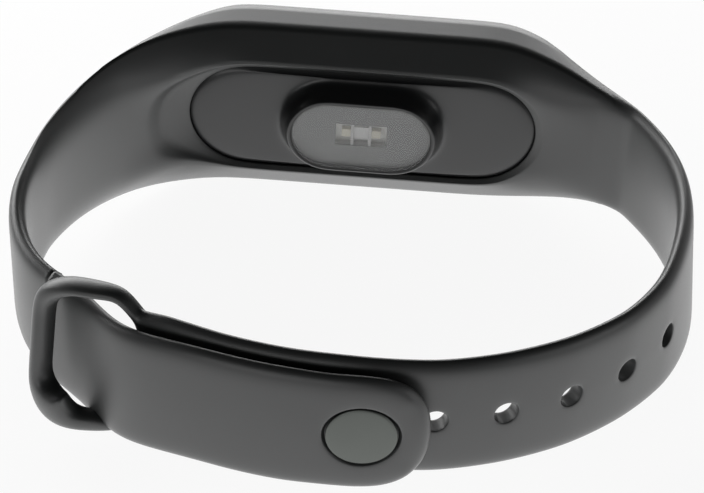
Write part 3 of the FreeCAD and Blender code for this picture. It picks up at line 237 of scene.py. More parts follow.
class Half:
    """One half of the band seen along Z, from the middle of the back to the middle of the front.

    A flat and four tangent arcs: corner, shoulder, side and front. X is positive here on both sides.
    """

    def __init__(self, side):
        s = sizes()
        self.side = side
        self.hand = "right" if side > 0 else "left"
        self.flat = self.own("flat")
        self.full_rise, self.full_fall = tuple(self.own("full_rise")), tuple(self.own("full_fall"))
        corner, shoulder = self.own("corner_turn"), self.own("shoulder_turn")
        self.arcs = [(s.corner_radius, corner), (self.own("shoulder_radius"), shoulder)]
        self.turned = corner + shoulder
        self.shoulder_start = self.flat + s.corner_radius * corner
        self.shoulder_end = self.shoulder_start + self.own("shoulder_radius") * shoulder
        point, out = self.outer(self.shoulder_end)
        point = point - out * self.fullness(self.shoulder_end)
        middle = Vector((0, s.front_y + s.front_radius))
        spoke, ray = point.xy - middle, out.xy
        # the side arc touches the shoulder at its end and the front arc from inside
        radius = (s.front_radius**2 - spoke.dot(spoke)) / (2 * (s.front_radius - spoke.dot(ray)))
        centre = spoke - ray * radius
        side_end = math.atan2(centre.x, centre.y)
        self.arcs += [(radius, side_end - self.turned), (s.front_radius, math.pi - side_end)]
        self.length = self.flat + sum(r * t for r, t in self.arcs)
        self.shape_rim()

    def own(self, kind):
        """The size of this side."""
        return getattr(sizes(), f"{kind}_{self.hand}")

    def outer(self, distance):
        """Point and outward direction at an arc length from the middle of the back."""
        point = Vector((min(distance, self.flat), sizes().back_y))
        heading, left = 0.0, distance - self.flat
        for radius, angle in self.arcs:
            if left <= 0:
                break
            step = min(left / radius, angle)
            point += arc_step(radius, heading, step)
            heading += step
            left -= radius * angle
        out = Vector((math.sin(heading), math.cos(heading), 0))
        return Vector((*point, 0)) + out * self.fullness(distance), out

    def fullness(self, distance):
        """How far the outer line bulges past its arcs."""
        return self.own("full") * smooth(distance, *self.full_rise) * (1 - smooth(distance, *self.full_fall))

    def shape_rim(self):
        """Two tangent arcs of the wrist side line, from the flat rim to the inner face of the strap."""
        s = sizes()
        reach = self.own("rim_reach")
        self.rim_end = blend(self.shoulder_start, self.shoulder_end, reach)
        point, out = self.outer(self.rim_end)
        joint = point - out * s.thick
        total = math.atan2(out.x, out.y)
        first = total * 0.55
        self.rim_y0 = s.back_y - s.depth
        a, b = arc_step(1, 0, first), arc_step(1, first, total - first)
        to = Vector((joint.x - self.flat, joint.y - self.rim_y0))
        det = a.x * b.y - b.x * a.y
        near, far = (to.x * b.y - b.x * to.y) / det, (a.x * to.y - a.y * to.x) / det
        self.rim_arcs = [(near, first), (far, total - first)]
        self.rim_flat = self.flat - s.cradle_flat
        self.rim_length = self.rim_flat + sum(r * t for r, t in self.rim_arcs)

    def rim(self, share):
        """Point and outward direction of the wrist side line, at a share of the way along it."""
        left = share * self.rim_length
        point = Vector((sizes().cradle_flat + min(left, self.rim_flat), self.rim_y0))
        left -= self.rim_flat
        heading = 0.0
        for radius, angle in self.rim_arcs:
            if left <= 0:
                break
            step = min(left / radius, angle)
            point += arc_step(radius, heading, step)
            heading += step
            left -= radius * angle
        return Vector((*point, 0)), Vector((math.sin(heading), math.cos(heading), 0))

    def lean(self, distance):
        """Sideways lean. It fades out towards the cradle and the clasp."""
        s = sizes()
        onset = smooth(distance, self.rim_end, self.rim_end + s.lean_onset)
        return self.own("lean") * onset * smooth(self.length - distance, *s.lean_fade)

    def half_width(self, x, strap_width):
        """Half the width of the band behind the wrist, at a distance x from the middle."""
        s = sizes()
        full, strap = s.width / 2, strap_width / 2
        start, end = s.cradle_flat, self.own("taper_end")
        run, drop = (end - start) / 2, (full - strap) / 2
        radius = (run * run + drop * drop) / (2 * drop)
        x = min(max(x, start), end)
        if x <= start + run:
            return full - (radius - math.sqrt(radius * radius - (x - start) ** 2))
        return strap + (radius - math.sqrt(radius * radius - (end - x) ** 2))


def solve(rising, wanted, low, high):
    """The place between low and high at which a rising function reaches a value."""
    for _ in range(30):
        middle = (low + high) / 2
        if rising(middle) < wanted:
            low = middle
        else:
            high = middle
    return low


class Plan:
    """Both halves of the band, with places in the frame of the object."""

    def __init__(self):
        self.halves = {side: Half(side) for side in (-1, 1)}

    def shifted(self, x, y):
        """X with the sideways shift of the front."""
        s = sizes()
        onset = smooth(s.back_y - s.depth - y, 0.0, s.front_onset)
        return x + s.front_shift * onset * (s.back_y - y) / (s.back_y - s.front_y)

    def spot(self, place, across, height):
        """Point at an arc length from the middle of the front, positive to the left."""
        side = -1 if place > 0 else 1
        half = self.halves[side]
        distance = half.length - abs(place)
        point, out = half.outer(distance)
        point = point + out * (height - across * math.tan(half.lean(distance)))
        return Vector((self.shifted(side * point.x, point.y), point.y, sizes().width / 2 + across))

    def sag(self, place):
        """How far the stud strap hangs lower at a place. It does so around the loop."""
        s = sizes()
        end = self.halves[-1].length - self.halves[-1].rim_end
        return s.sag * smooth(place, *s.sag_rise) * (1 - smooth(place, end - s.sag_fade, end))

    def out(self, place):
        """Outward direction at an arc length from the middle of the front."""
        side = -1 if place > 0 else 1
        half = self.halves[side]
        _, out = half.outer(half.length - abs(place))
        return Vector((side * out.x, out.y, 0))

    def outer_y(self, x):
        """Y of the outer line at an X behind the wrist."""
        half = self.halves[1 if x > 0 else -1]
        return half.outer(solve(lambda d: half.outer(d)[0].x, abs(x), 0.0, half.rim_end))[0].y

    def rim_y(self, x):
        """Y of the wrist side line at an X."""
        half = self.halves[1 if x > 0 else -1]
        if abs(x) <= half.rim(0)[0].x:
            return half.rim_y0
        return half.rim(solve(lambda share: half.rim(share)[0].x, abs(x), 0.0, 1.0))[0].y


# ---------------------------------------------------------------- modelling by hand, in code


def start_ring(name, points):
    """A circle primitive whose vertices are put at the points of the first ring. Leaves edit mode on."""
    bpy.ops.object.select_all(action="DESELECT")
    bpy.ops.mesh.primitive_circle_add(vertices=len(points), radius=MM)
    piece = bpy.context.object
    piece.name = piece.data.name = name
    bpy.ops.object.mode_set(mode="EDIT")
    bpy.ops.mesh.select_all(action="SELECT")
    mesh = bmesh.from_edit_mesh(piece.data)
    column = mesh.verts.layers.int.new("column")
    mesh.verts.layers.int.new("station")
    mesh.verts.ensure_lookup_table()
    for index, point in enumerate(points):
        mesh.verts[index][column] = index
        mesh.verts[index].co = point
    bmesh.update_edit_mesh(piece.data)
    return piece


def settle(piece, points, station):
    """Puts the selected vertices at the points of their columns and marks them with a station."""
    mesh = bmesh.from_edit_mesh(piece.data)
    column = mesh.verts.layers.int["column"]
    place = mesh.verts.layers.int["station"]
    for vert in mesh.verts:
        if vert.select:
            vert.co = points[vert[column]]
            vert[place] = station
    bmesh.update_edit_mesh(piece.data)


def next_ring(piece, points, station):
    """Extrudes the selected edges to the points of the next ring."""
    bpy.ops.mesh.extrude_edges_move()
    settle(piece, points, station)


def pick(piece, kind, test):
    """Selects the vertices, edges or faces that pass a test on their (station, column) pairs."""
    bpy.ops.mesh.select_all(action="DESELECT")
    bpy.context.tool_settings.mesh_select_mode = tuple(
        kind == name for name in ("verts", "edges", "faces")
    )
    mesh = bmesh.from_edit_mesh(piece.data)
    column = mesh.verts.layers.int["column"]
    station = mesh.verts.layers.int["station"]
    for item in getattr(mesh, kind):
        verts = [item] if kind == "verts" else item.verts
        if test({(vert[station], vert[column]) for vert in verts}):
            item.select_set(True)
    mesh.select_flush_mode()
    bmesh.update_edit_mesh(piece.data)


def pick_marks(piece, kind, marks):
    """Selects the vertices, edges or faces that lie wholly on the given marks."""
    wanted = set(marks)
    pick(piece, kind, lambda keys: keys <= wanted)


def put(piece, places):
    """Moves vertices to new places, given by their (station, column) mark."""
    mesh = bmesh.from_edit_mesh(piece.data)
    column = mesh.verts.layers.int["column"]
    station = mesh.verts.layers.int["station"]
    for vert in mesh.verts:
        spot = places.get((vert[station], vert[column]))
        if spot is not None:
            vert.co = spot
    bmesh.update_edit_mesh(piece.data)


def around_station(station):
    """Test for the edges of one ring."""
    return lambda keys: all(a == station for a, _ in keys)


def along_column(column, first, last):
    """Test for the edges that run along a column between two stations."""
    return lambda keys: all(first <= a <= last and b == column for a, b in keys)


def crease(piece, value, test):
    """Sharpens the edges that pass a test, for the rounding that follows."""
    pick(piece, "edges", test)
    bpy.ops.transform.edge_crease(value=value)


def leave(piece, levels=2, angle=None):
    """Closes the edit: doubles merged, normals outward, rounded and shaded smooth."""
    bpy.ops.mesh.select_all(action="SELECT")
    bpy.ops.mesh.remove_doubles(threshold=MM * 0.004)
    bpy.ops.mesh.select_all(action="SELECT")
    bpy.ops.mesh.normals_make_consistent(inside=False)
    bpy.ops.object.mode_set(mode="OBJECT")
    modifier = piece.modifiers.new("rounding", "SUBSURF")
    modifier.levels = modifier.render_levels = levels
    bpy.ops.object.modifier_apply(modifier=modifier.name)
    bpy.ops.object.shade_smooth()
    if angle:
        bpy.ops.object.shade_smooth_by_angle(angle=math.radians(angle))


def finish_piece(piece, body, material, replaces=()):
    """Gives a piece its finish, its body and the nodes it stands for."""
    piece.data.materials.clear()
    piece.data.materials.append(material)
    if body:
        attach(piece, body)
    if replaces:
        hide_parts(*replaces)
    piece.select_set(False)


# ---------------------------------------------------------------- sections of the band


def section(outer_at, wrist_at, outer, wrist):
    """The 18 points of one ring of the band: outer face, one edge, wrist face, other edge.

    outer_at and wrist_at give the point at a depth under their face and a distance across. outer and wrist
    hold four (across, depth) pairs from the middle of the face to the edge.
    """
    points = [outer_at(d, -z) for z, d in reversed(outer[:3])]
    points.append(outer_at(0.0, 0.0))
    points += [outer_at(d, z) for z, d in outer]
    points += [wrist_at(d, z) for z, d in reversed(wrist)]
    points.append(wrist_at(0.0, 0.0))
    points += [wrist_at(d, -z) for z, d in wrist]
    points.append(outer_at(outer[3][1], -outer[3][0]))
    return points


def edge_size():
    """How far the rounding of a strap's edge reaches, in width and in depth."""
    return sizes().thick * 0.4


def edge_columns():
    """The four columns along the edges of a strap: column, side and depth under the outer face."""
    edge, thick = edge_size(), sizes().thick
    return (7, 1, edge), (8, 1, thick - edge), (16, -1, thick - edge), (17, -1, edge)


def strap_faces(half, rows=None):
    """The pairs of a strap's section: two flat faces with rounded edges."""
    edge = edge_size()
    first, second = rows or (half * 0.24, half * 0.62)
    # the rounding draws the edge in by a sixth of its width
    return [(first, 0.0), (second, 0.0), (half - edge * 5 / 6, 0.0), (half + edge / 6, edge)]


def strap_width(half, place, strap):
    """Width of a strap at an arc length from the middle of the front, with its taper to the cradle."""
    point, _ = half.outer(half.length - abs(place))
    fade = smooth(-point.y, 0.0, sizes().taper_fade)
    return blend(2 * half.half_width(point.x, strap), strap, fade)


def strap_section(plan, place, width, lift=0.0, rows=None, higher=0.0):
    """Ring of a strap at an arc length from the middle of the front."""
    faces = strap_faces(width / 2, rows)
    low = lift - sizes().thick
    return section(
        lambda depth, z: plan.spot(place, z + higher, lift - depth),
        lambda depth, z: plan.spot(place, z + higher, low + depth),
        faces,
        faces,
    )


def hole_strap_rise(place):
    """How far the hole strap sits higher at a place behind the stud strap."""
    s = sizes()
    return s.hole_rise * smooth(place, *s.hole_rise_start) * (1 - smooth(place, *s.hole_rise_end))


def cradle_faces(half):
    """The pairs of the cradle's outer and wrist face. The wrist face ends in a slope to its edge."""
    s = sizes()
    _, radius = opening_size()
    outer = [(radius / 2, 0.0), (radius, 0.0), (half - s.edge_across, 0.0), (half, s.edge_depth)]
    slope = s.slope_width * 0.5
    wrist = [(radius / 2, 0.0), (half - s.slope_width, 0.0)]
    wrist += [(half - slope, s.slope_drop * 0.5), (half, s.slope_drop)]
    return outer, wrist


def opening_size():
    """Half the distance between the centres of the capsule's round ends, and their radius."""
    low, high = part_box("rear_shell")
    radius = (high[2] - low[2]) / 2
    return (high[0] - low[0]) / 2 - radius, radius


class TRACKER_OT_wristband(bpy.types.Operator):
    """Models the one-piece band: stud strap, cradle with its opening, hole strap and loop"""

    bl_idname = "tracker.wristband"
    bl_label = "Wristband"

    def execute(self, context):
        plan = Plan()
        rings, marks, holes = self.rings(plan)
        piece = start_ring("band_moulding", rings[0])
        for station, ring in enumerate(rings[1:], start=1):
            next_ring(piece, ring, station)
        cap_strip(piece, 0)
        crease(piece, 1.0, around_station(0))
        self.firm_edges(piece, marks)
        self.cut_opening(piece, plan, marks)
        self.punch_holes(piece, plan, holes)
        self.grow_loop(piece, plan, len(rings) - 1)
        leave(piece, levels=2)
        finish_piece(piece, "band", strap_material(), ["wristband"])
        return {"FINISHED"}

    def firm_edges(self, piece, marks):
        """Sharpens the wrist and outer edges of the cradle a little, less and less towards the straps."""
        for k in range(8, 1, -1):
            share = 1 - smooth(k, 2, 9)
            for columns, value in (((8, 16), 0.75), ((7, 17), 0.25)):
                for column in columns:
                    crease(piece, value * share, along_column(column, marks[-1, k], marks[1, k]))

    def rings(self, plan):
        """All rings from the cut stud strap round the back to the end of the hole strap.

        Also gives the stations of both shoulders, and the station and place of each hole.
        """
        s = sizes()
        rings, marks, holes = [], {}, []
        left, right = plan.halves[-1], plan.halves[1]
        split = s.strap_split
        start = left.length - left.rim_end
        for k in range(SIDE_RINGS):
            place = blend(split, start, k / SIDE_RINGS)
            width = strap_width(left, place, s.stud_strap)
            rings.append(strap_section(plan, place, width, higher=-plan.sag(place)))
        stops = self.half_cradle(plan, left, s.stud_strap)
        for k in range(len(stops)):
            marks[-1, k] = len(rings) + len(stops) - 1 - k
        rings += stops[::-1]
        centre, _ = opening_size()
        for k in range(1, CRADLE_RINGS + 1):
            rings.append(self.cradle_ring(blend(-centre, centre, k / (CRADLE_RINGS + 1))))
        stops = self.half_cradle(plan, right, s.hole_strap)
        for k in range(len(stops)):
            marks[1, k] = len(rings) + k
        rings += stops
        first = -s.stud + s.pitch * (s.hole_in_use - 1)
        last = first - s.pitch * (s.holes - 1)
        place, stop = right.rim_end - right.length, last - s.pitch / 2
        count = max(1, round((stop - place) / (s.pitch * 0.6)))
        for k in range(count):
            spot = blend(place, stop, k / count)
            rings.append(strap_section(plan, spot, strap_width(right, spot, s.hole_strap)))
        rows = (s.hole * 0.46, s.hole_strap * 0.3)
        for k in range(s.holes):
            spot = last + s.pitch * k
            for step in (-s.pitch / 2, -rows[0], 0.0, rows[0]):
                rise = hole_strap_rise(spot + step)
                rings.append(strap_section(plan, spot + step, s.hole_strap, rows=rows, higher=rise))
            holes.append((len(rings) - 2, spot))
        rows = (rows[0], s.hole_strap / 2 - s.loop_leg * 1.25)
        rings.append(strap_section(plan, s.loop_start, s.hole_strap, rows=rows))
        return rings, marks, holes

    def cradle_ring(self, x):
        """Ring across the straight cradle."""
        s = sizes()
        outer, wrist = cradle_faces(s.width / 2)
        rim = s.back_y - s.depth
        return section(
            lambda depth, z: Vector((x, s.back_y - depth, s.width / 2 + z)),
            lambda depth, z: Vector((x, rim + depth, s.width / 2 + z)),
            outer,
            wrist,
        )

    def half_cradle(self, plan, half, strap_width):
        """Rings from the end of the straight cradle to the start of the side bend."""
        s = sizes()
        centre, radius = opening_size()
        stops = []
        # places on the outer and the wrist side, as shares of the radius of the opening
        for outer_share, wrist_share in ((0.0, 0.0), (0.42, 0.5), (0.95, 1.15)):
            outer_x, wrist_x = centre + radius * outer_share, centre + radius * wrist_share
            place = solve(lambda d: half.outer(d)[0].x, outer_x, 0.0, half.rim_end)
            share = solve(lambda d: half.rim(d)[0].x, wrist_x, 0.0, 1.0)
            stops.append(self.shoulder_ring(plan, half, place, share, outer_x, wrist_x, strap_width))
        place = solve(lambda d: half.outer(d)[0].x, centre + radius * 1.25, 0.0, half.rim_end)
        share = solve(lambda d: half.rim(d)[0].x, centre + s.mouth_reach + MM, 0.0, 1.0)
        for k in range(SHOULDER_RINGS):
            spot = blend(place, half.rim_end, k / SHOULDER_RINGS)
            part = blend(share, 1.0, k / SHOULDER_RINGS)
            outer_x, wrist_x = half.outer(spot)[0].x, half.rim(part)[0].x
            stops.append(self.shoulder_ring(plan, half, spot, part, outer_x, wrist_x, strap_width))
        return stops

    def shoulder_ring(self, plan, half, place, share, outer_x, wrist_x, strap_width):
        """Ring between the cradle and the side; it blends the cradle's section into the strap's."""
        s = sizes()
        outer, out = half.outer(place)
        wrist, wrist_out = half.rim(share)
        outer.x, wrist.x = outer_x, wrist_x
        pairs = []
        for number, x in enumerate((outer_x, wrist_x)):
            width = half.half_width(x, strap_width)
            strap = smooth(x, s.cradle_flat + MM, half.own("taper_end"))
            faces = zip(cradle_faces(width)[number], strap_faces(width))
            pairs.append([(blend(a, c, strap), blend(b, d, strap)) for (a, b), (c, d) in faces])

        def at(point, direction):
            def inner(depth, across):
                spot = point + direction * depth
                return Vector((plan.shifted(half.side * spot.x, spot.y), spot.y, s.width / 2 + across))

            return inner

        return section(at(outer, -out), at(wrist, wrist_out), *pairs)

    def cut_opening(self, piece, plan, marks):
        """Opening of the cradle with its seat, lip and flared mouth."""
        s = sizes()
        centre, radius = opening_size()
        first, last = marks[-1, 2], marks[1, 2]
        stadium = self.stadium_marks(marks, centre)
        seat = radius + s.capsule_clear
        land = seat - s.seat_chamfer
        rear = s.back_y - s.setback
        blunt = rear - s.lip_land

        def at(key, reach, y):
            x, nx, nz = stadium[key]
            return Vector((x + nx * reach, y, s.width / 2 + nz * reach))

        outer_places, wrist_places = {}, {}
        for (station, step), (x, nx, nz) in stadium.items():
            y = plan.outer_y(x + nx * seat)
            outer_places[station, 3 + step] = at((station, step), seat, y)

            def face_y(reach, x=x, nx=nx, nz=nz):
                return self.mouth_y(plan, x + nx * reach, abs(nz * reach))

            def past_flare(reach, face_y=face_y):
                return reach - land - s.lip_flare * (blunt - face_y(reach))

            reach = solve(past_flare, 0.0, land, s.mouth_reach)
            wrist_places[station, 12 - step] = at((station, step), reach, face_y(reach))
        put(piece, outer_places)
        put(piece, wrist_places)
        for wanted in ({3 + step for step in range(-2, 3)}, {12 - step for step in range(-2, 3)}):
            pick(piece, "faces", lambda keys: all(first <= a <= last and b in wanted for a, b in keys))
            bpy.ops.mesh.delete(type="FACE")
        pick_marks(piece, "edges", wrist_places)
        self.keep_open_edges(piece)
        bpy.ops.transform.edge_crease(value=0.9)
        spots = {}
        for station, step in stadium:
            key = (station, 12 - step)
            lip = at((station, step), land, blunt)
            hollow = s.mouth_hollow * smooth((wrist_places[key] - lip).length, MM, MM * 4)
            spots[key] = wrist_places[key].lerp(lip, 0.35)
            spots[key].y += hollow
        self.extrude_keyed(piece, spots, 5 * SHIFT)
        chamfer = s.seat_chamfer / s.lip_flare
        levels = [(land, blunt), (land, rear), (seat, rear + chamfer), (seat, rear + chamfer * 2)]
        for number, (reach, y) in enumerate(levels, start=1):
            spots = {(station, 12 - step): at((station, step), reach, y) for station, step in stadium}
            self.extrude_keyed(piece, spots, number * SHIFT)
        spots = {(station, 12 - step): outer_places[station, 3 + step] for station, step in stadium}
        self.extrude_keyed(piece, spots, 9 * SHIFT)

    def stadium_marks(self, marks, centre):
        """For each vertex of the opening: centre x, and the direction to it along x and z."""
        first, last = marks[-1, 2], marks[1, 2]
        ends = {marks[side, k]: (side, k) for side in (-1, 1) for k in (1, 2)}
        stadium = {}
        for station in range(first, last + 1):
            side, k = ends.get(station, (0, 0))
            for step in range(-2, 3):
                if k == 2:
                    angle = math.radians(22.5 * abs(step))
                elif k == 1 and abs(step) == 2:
                    angle = math.radians(67.5)
                elif abs(step) == 2:
                    share = (station - marks[-1, 0]) / (marks[1, 0] - marks[-1, 0])
                    stadium[station, step] = (blend(-centre, centre, share), 0.0, math.copysign(1.0, step))
                    continue
                else:
                    continue
                stadium[station, step] = (
                    side * centre,
                    side * math.cos(angle),
                    math.copysign(math.sin(angle), step),
                )
        return stadium

    def mouth_y(self, plan, x, across):
        """Y of the wrist face at a place, with the slope along the edge of the cradle."""
        s = sizes()
        half = plan.halves[1 if x > 0 else -1]
        width = half.half_width(abs(x), s.stud_strap)
        over = max(0.0, across - (width - s.slope_width))
        return plan.rim_y(x) + over * s.slope_drop / s.slope_width

    def keep_open_edges(self, piece):
        """Leaves only the selected edges that border a single face."""
        mesh = bmesh.from_edit_mesh(piece.data)
        for edge in mesh.edges:
            if edge.select and len(edge.link_faces) != 1:
                edge.select_set(False)
        bmesh.update_edit_mesh(piece.data)

    def extrude_keyed(self, piece, spots, shift):
        """Extrudes the selected edges; new vertices take the place of their mark and a shifted station."""
        bpy.ops.mesh.extrude_edges_move()
        mesh = bmesh.from_edit_mesh(piece.data)
        column = mesh.verts.layers.int["column"]
        station = mesh.verts.layers.int["station"]
        for vert in mesh.verts:
            if vert.select:
                base = vert[station] % SHIFT
                vert.co = spots[base, vert[column]]
                vert[station] = base + shift
        bmesh.update_edit_mesh(piece.data)

    def punch_holes(self, piece, plan, holes):
        """Adjusting holes through the hole strap."""
        s = sizes()
        reach = s.hole / 2 / OCTAGON_DRAW
        around = [(-1, -1), (0, -1), (1, -1), (1, 0), (1, 1), (0, 1), (-1, 1), (-1, 0)]
        for centre, place in holes:
            faces = []
            for under, columns in ((0.0, (2, 3, 4)), (s.thick, (13, 12, 11))):
                places = {}
                for row, step in around:
                    angle = math.atan2(step, row)
                    along, across = reach * math.cos(angle), reach * math.sin(angle)
                    across += hole_strap_rise(place + along)
                    places[centre + row, columns[step + 1]] = plan.spot(place + along, across, -under)
                put(piece, places)
                faces.append(places)
                wanted = set(columns)
                pick(piece, "faces", lambda keys: all(abs(a - centre) <= 1 and b in wanted for a, b in keys))
                bpy.ops.mesh.delete(type="FACE")
            outer, inner = faces
            pick_marks(piece, "edges", outer)
            self.keep_open_edges(piece)
            bpy.ops.transform.edge_crease(value=0.3)
            for number, share in enumerate((0.1, 0.9, 1.0), start=1):
                spots = {}
                for row, step in around:
                    a, b = outer[centre + row, 3 + step], inner[centre + row, 12 - step]
                    spots[centre + row, 3 + step] = a.lerp(b, share)
                self.extrude_keyed(piece, spots, number * 3 * SHIFT)

    def loop_path(self):
        """Stops on the upper half of the loop: arc length, distance across, width and fill of the corner."""
        s = sizes()
        leg_z = s.stud_strap / 2 + s.loop_clear + s.loop_leg / 2
        root_z = s.hole_strap / 2 - s.loop_leg / 2
        bar = s.loop_start + s.loop_slot + s.loop_bar / 2
        bend = s.loop_slot / 2.3
        path = [(s.loop_start, root_z, s.loop_leg, 0.0)]
        for share in (0.1, 0.24, 0.38, 0.5):
            z = blend(root_z, leg_z, smooth(share, 0.0, 0.3))
            fill = s.loop_web * 0.3 * smooth(share, 0.2, 0.5)
            path.append((s.loop_start + share * s.loop_slot, z, s.loop_leg, fill))
        for k in range(5):
            angle = math.radians(90 * k / 4)
            spot = bar - bend * (1 - math.sin(angle))
            width = blend(s.loop_leg, s.loop_bar, smooth(k, 0, 4))
            fill = s.loop_web * (0.3 * (1 - k / 4) + 0.85 * math.sin(2 * angle))
            path.append((spot, leg_z - bend * (1 - math.cos(angle)), width, fill))
        path.append((bar, leg_z * 0.25, s.loop_bar, 0.0))
        path.append((bar, 0.0, s.loop_bar, 0.0))
        return path

    def loop_place(self, plan, spot, across):
        """Point on the middle line of the loop, which rises from the end of the strap to the bar."""
        s = sizes()
        bar = s.loop_start + s.loop_slot + s.loop_bar / 2
        share = smooth(spot, s.loop_start, bar - s.loop_bar / 3)
        rise = blend(-s.thick / 2, s.loop_rise, share)
        return plan.spot(spot, across - s.loop_drop * share, rise - across * math.tan(s.loop_lean) * share)

    def loop_ring(self, plan, path, number, hand):
        """Six points round the loop at a stop of its path, in its upper (1) or lower (-1) half."""
        s = sizes()
        spot, across, width, fill = path[number]
        before = self.loop_place(plan, *path[number - 1][:2])
        after = self.loop_place(plan, *path[min(number + 1, len(path) - 1)][:2])
        along = (after - before).normalized()
        if number == len(path) - 1:
            along = Vector((0, 0, -1))
        out = plan.out(spot)
        out = (out - along * out.dot(along)).normalized()
        sideways = along.cross(out)
        thick = blend(s.thick, s.loop_thick, smooth(number - 1, 0, 4))
        middle = self.loop_place(plan, spot, across * hand)
        points = []
        for a, b in LOOP_PROFILE:
            web = fill * (s.loop_web_upper if hand > 0 else 1.0) if a < 0 else 0.0
            offset = sideways * (a * width - web) + out * (b * thick)
            # the lower half mirrors the upper one, and keeps the lean of its own side
            points.append(middle + Vector((offset.x, offset.y, offset.z * hand)))
        return points

    def grow_loop(self, piece, plan, last):
        """End wall of the hole strap, and the loop that grows from its two corners."""
        path = self.loop_path()
        for columns, hand in (((5, 6, 7, 8, 9, 10), 1), ((1, 0, 17, 16, 15, 14), -1)):
            pick_marks(piece, "verts", {(last, column) for column in columns})
            bpy.ops.mesh.edge_face_add()
            bpy.context.tool_settings.mesh_select_mode = (False, False, True)
            first = last if hand > 0 else last + len(path)
            for number in range(1, len(path)):
                points = self.loop_ring(plan, path, number, hand)
                bpy.ops.mesh.extrude_region_move()
                settle(piece, dict(zip(columns, points)), first + number)
            bpy.ops.mesh.delete(type="ONLY_FACE")
        for k in range(4):
            pick_marks(piece, "verts", {(last, 1 + k), (last, 2 + k), (last, 14 - k), (last, 13 - k)})
            bpy.ops.mesh.edge_face_add()


class TRACKER_OT_stud_strap(bpy.types.Operator):
    """Models the end of the stud strap, from under the bar of the loop to its round tip, with the cap seat"""

    bl_idname = "tracker.stud_strap"
    bl_label = "Stud strap end"

    def execute(self, context):
        plan = Plan()
        s = sizes()
        half, edge = s.stud_strap / 2, edge_size()
        split = s.strap_split
        seat = s.cap / 2 + s.seat_clear
        rows = (seat * 0.5, seat)
        rings = []
        for k in range(14):
            place = blend(split, -s.stud + seat * 1.7, k / 13)
            width = strap_width(plan.halves[-1], place, s.stud_strap) if place > 0 else s.stud_strap
            rings.append(strap_section(plan, place, width, self.lift(place), rows, -plan.sag(place)))
        first = len(rings)
        steps = (0.0, *rows, half - edge)
        for row in (-2, -1, 0, 1, 2):
            side = (row * seat / 2, half)
            if row > 0:
                side = self.tip(half, 90 - 45 * row / 2.75)
            rings.append(self.tip_ring(plan, row * seat / 2, side, steps))
        rings.append(self.last_ring(plan, half))
        piece = start_ring("stud_strap_end", rings[0])
        for station, ring in enumerate(rings[1:], start=1):
            next_ring(piece, ring, station)
        cap_strip(piece, 0)
        crease(piece, 1.0, around_station(0))
        self.close_tip(piece, plan, len(rings) - 1, half)
        self.press_seat(piece, plan, first, seat)
        leave(piece, levels=3)
        finish_piece(piece, None, strap_material(), ["stud_tail"])
        hinge = s.hinge + s.front_shift
        ends = [plan.spot(hinge + step, 0, 0) for step in (s.bend_reach, -s.bend_reach)]
        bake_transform(piece)
        return {"FINISHED"}

    def lift(self, place):
        """How far the strap rides out over the hole strap."""
        s = sizes()
        over = s.layer_gap + s.thick
        return over * (1 - smooth(place, s.loop_start - s.loop_slot * 0.09, s.loop_start + s.loop_slot))

    def face(self, plan, beyond, across, under):
        """Point under the outer face at a distance beyond the stud, towards the tip."""
        place = -sizes().stud - beyond
        return plan.spot(place, across, self.lift(place) - under)

    def tip(self, reach, degrees):
        """Place on the blunt round tip, at an angle from its middle: distance beyond the stud and across."""
        angle = math.radians(abs(degrees))
        beyond = reach * 0.93 * math.cos(angle) ** 0.85
        return beyond, math.copysign(reach * math.sin(angle) ** 0.85, degrees)

    def tip_ring(self, plan, beyond, side, steps):
        """Ring near the stud: its side columns follow the round tip."""
        s = sizes()
        half = s.stud_strap / 2
        points = [None] * COLUMNS
        for k in range(7):
            step = k - 3
            spot, across = beyond, math.copysign(steps[abs(step)], step)
            if abs(step) == 3 and beyond > 0:
                spot, across = side[0] * steps[3] / half, math.copysign(side[1] * steps[3] / half, step)
            points[k] = self.face(plan, spot, across, 0.0)
            points[15 - k] = self.face(plan, spot, across, s.thick)
        for column, hand, under in edge_columns():
            points[column] = self.face(plan, side[0], hand * side[1], under)
        return points

    def last_ring(self, plan, half):
        """Round end of both faces, with the corners of the edge at 45 degrees."""
        points = [None] * COLUMNS
        for k in range(7):
            spot, across = self.tip(half - edge_size(), (k - 3) * 15)
            points[k] = self.face(plan, spot, across, 0.0)
            points[15 - k] = self.face(plan, spot, across, sizes().thick)
        beyond, side = self.tip(half, 45)
        for column, hand, under in edge_columns():
            points[column] = self.face(plan, beyond, hand * side, under)
        return points

    def close_tip(self, piece, plan, last, half):
        """Carries the rounded edge round the tip, from the outer to the wrist face."""
        edge, thick = edge_size(), sizes().thick
        levels = [(half, edge), (half, thick - edge), (half - edge, thick)]
        pick_marks(piece, "edges", {(last, k) for k in range(7)})
        for number, (reach, under) in enumerate(levels, start=1):
            spots = []
            for k in range(7):
                spots.append(self.face(plan, *self.tip(reach, (k - 3) * 15), under))
            next_ring(piece, spots, 100 + number)

    def press_seat(self, piece, plan, first, seat):
        """Seat of the cap: a round patch of the outer face, inset and pressed in."""
        places = {}
        for row in range(-2, 3):
            for step in range(-2, 3):
                x, y = row / 2, step / 2
                beyond = x * math.sqrt(1 - y * y / 2) * seat
                across = y * math.sqrt(1 - x * x / 2) * seat
                places[first + row + 2, 3 + step] = self.face(plan, beyond, across, 0.0)
        put(piece, places)
        pick_marks(piece, "faces", places)
        level = self.face(plan, 0.0, 0.0, 0.0)
        out = plan.out(-sizes().stud)
        # share of the size before, and millimetres down
        for scale, depth in ((0.95, 0.12), (0.94, 0.45), (0.97, 0.0)):
            bpy.ops.mesh.inset(thickness=MM * 0.0001, depth=0.0)
            bpy.ops.transform.translate(value=tuple(-out * depth * MM))
            bpy.ops.transform.resize(value=(scale, scale, scale), center_override=tuple(level))


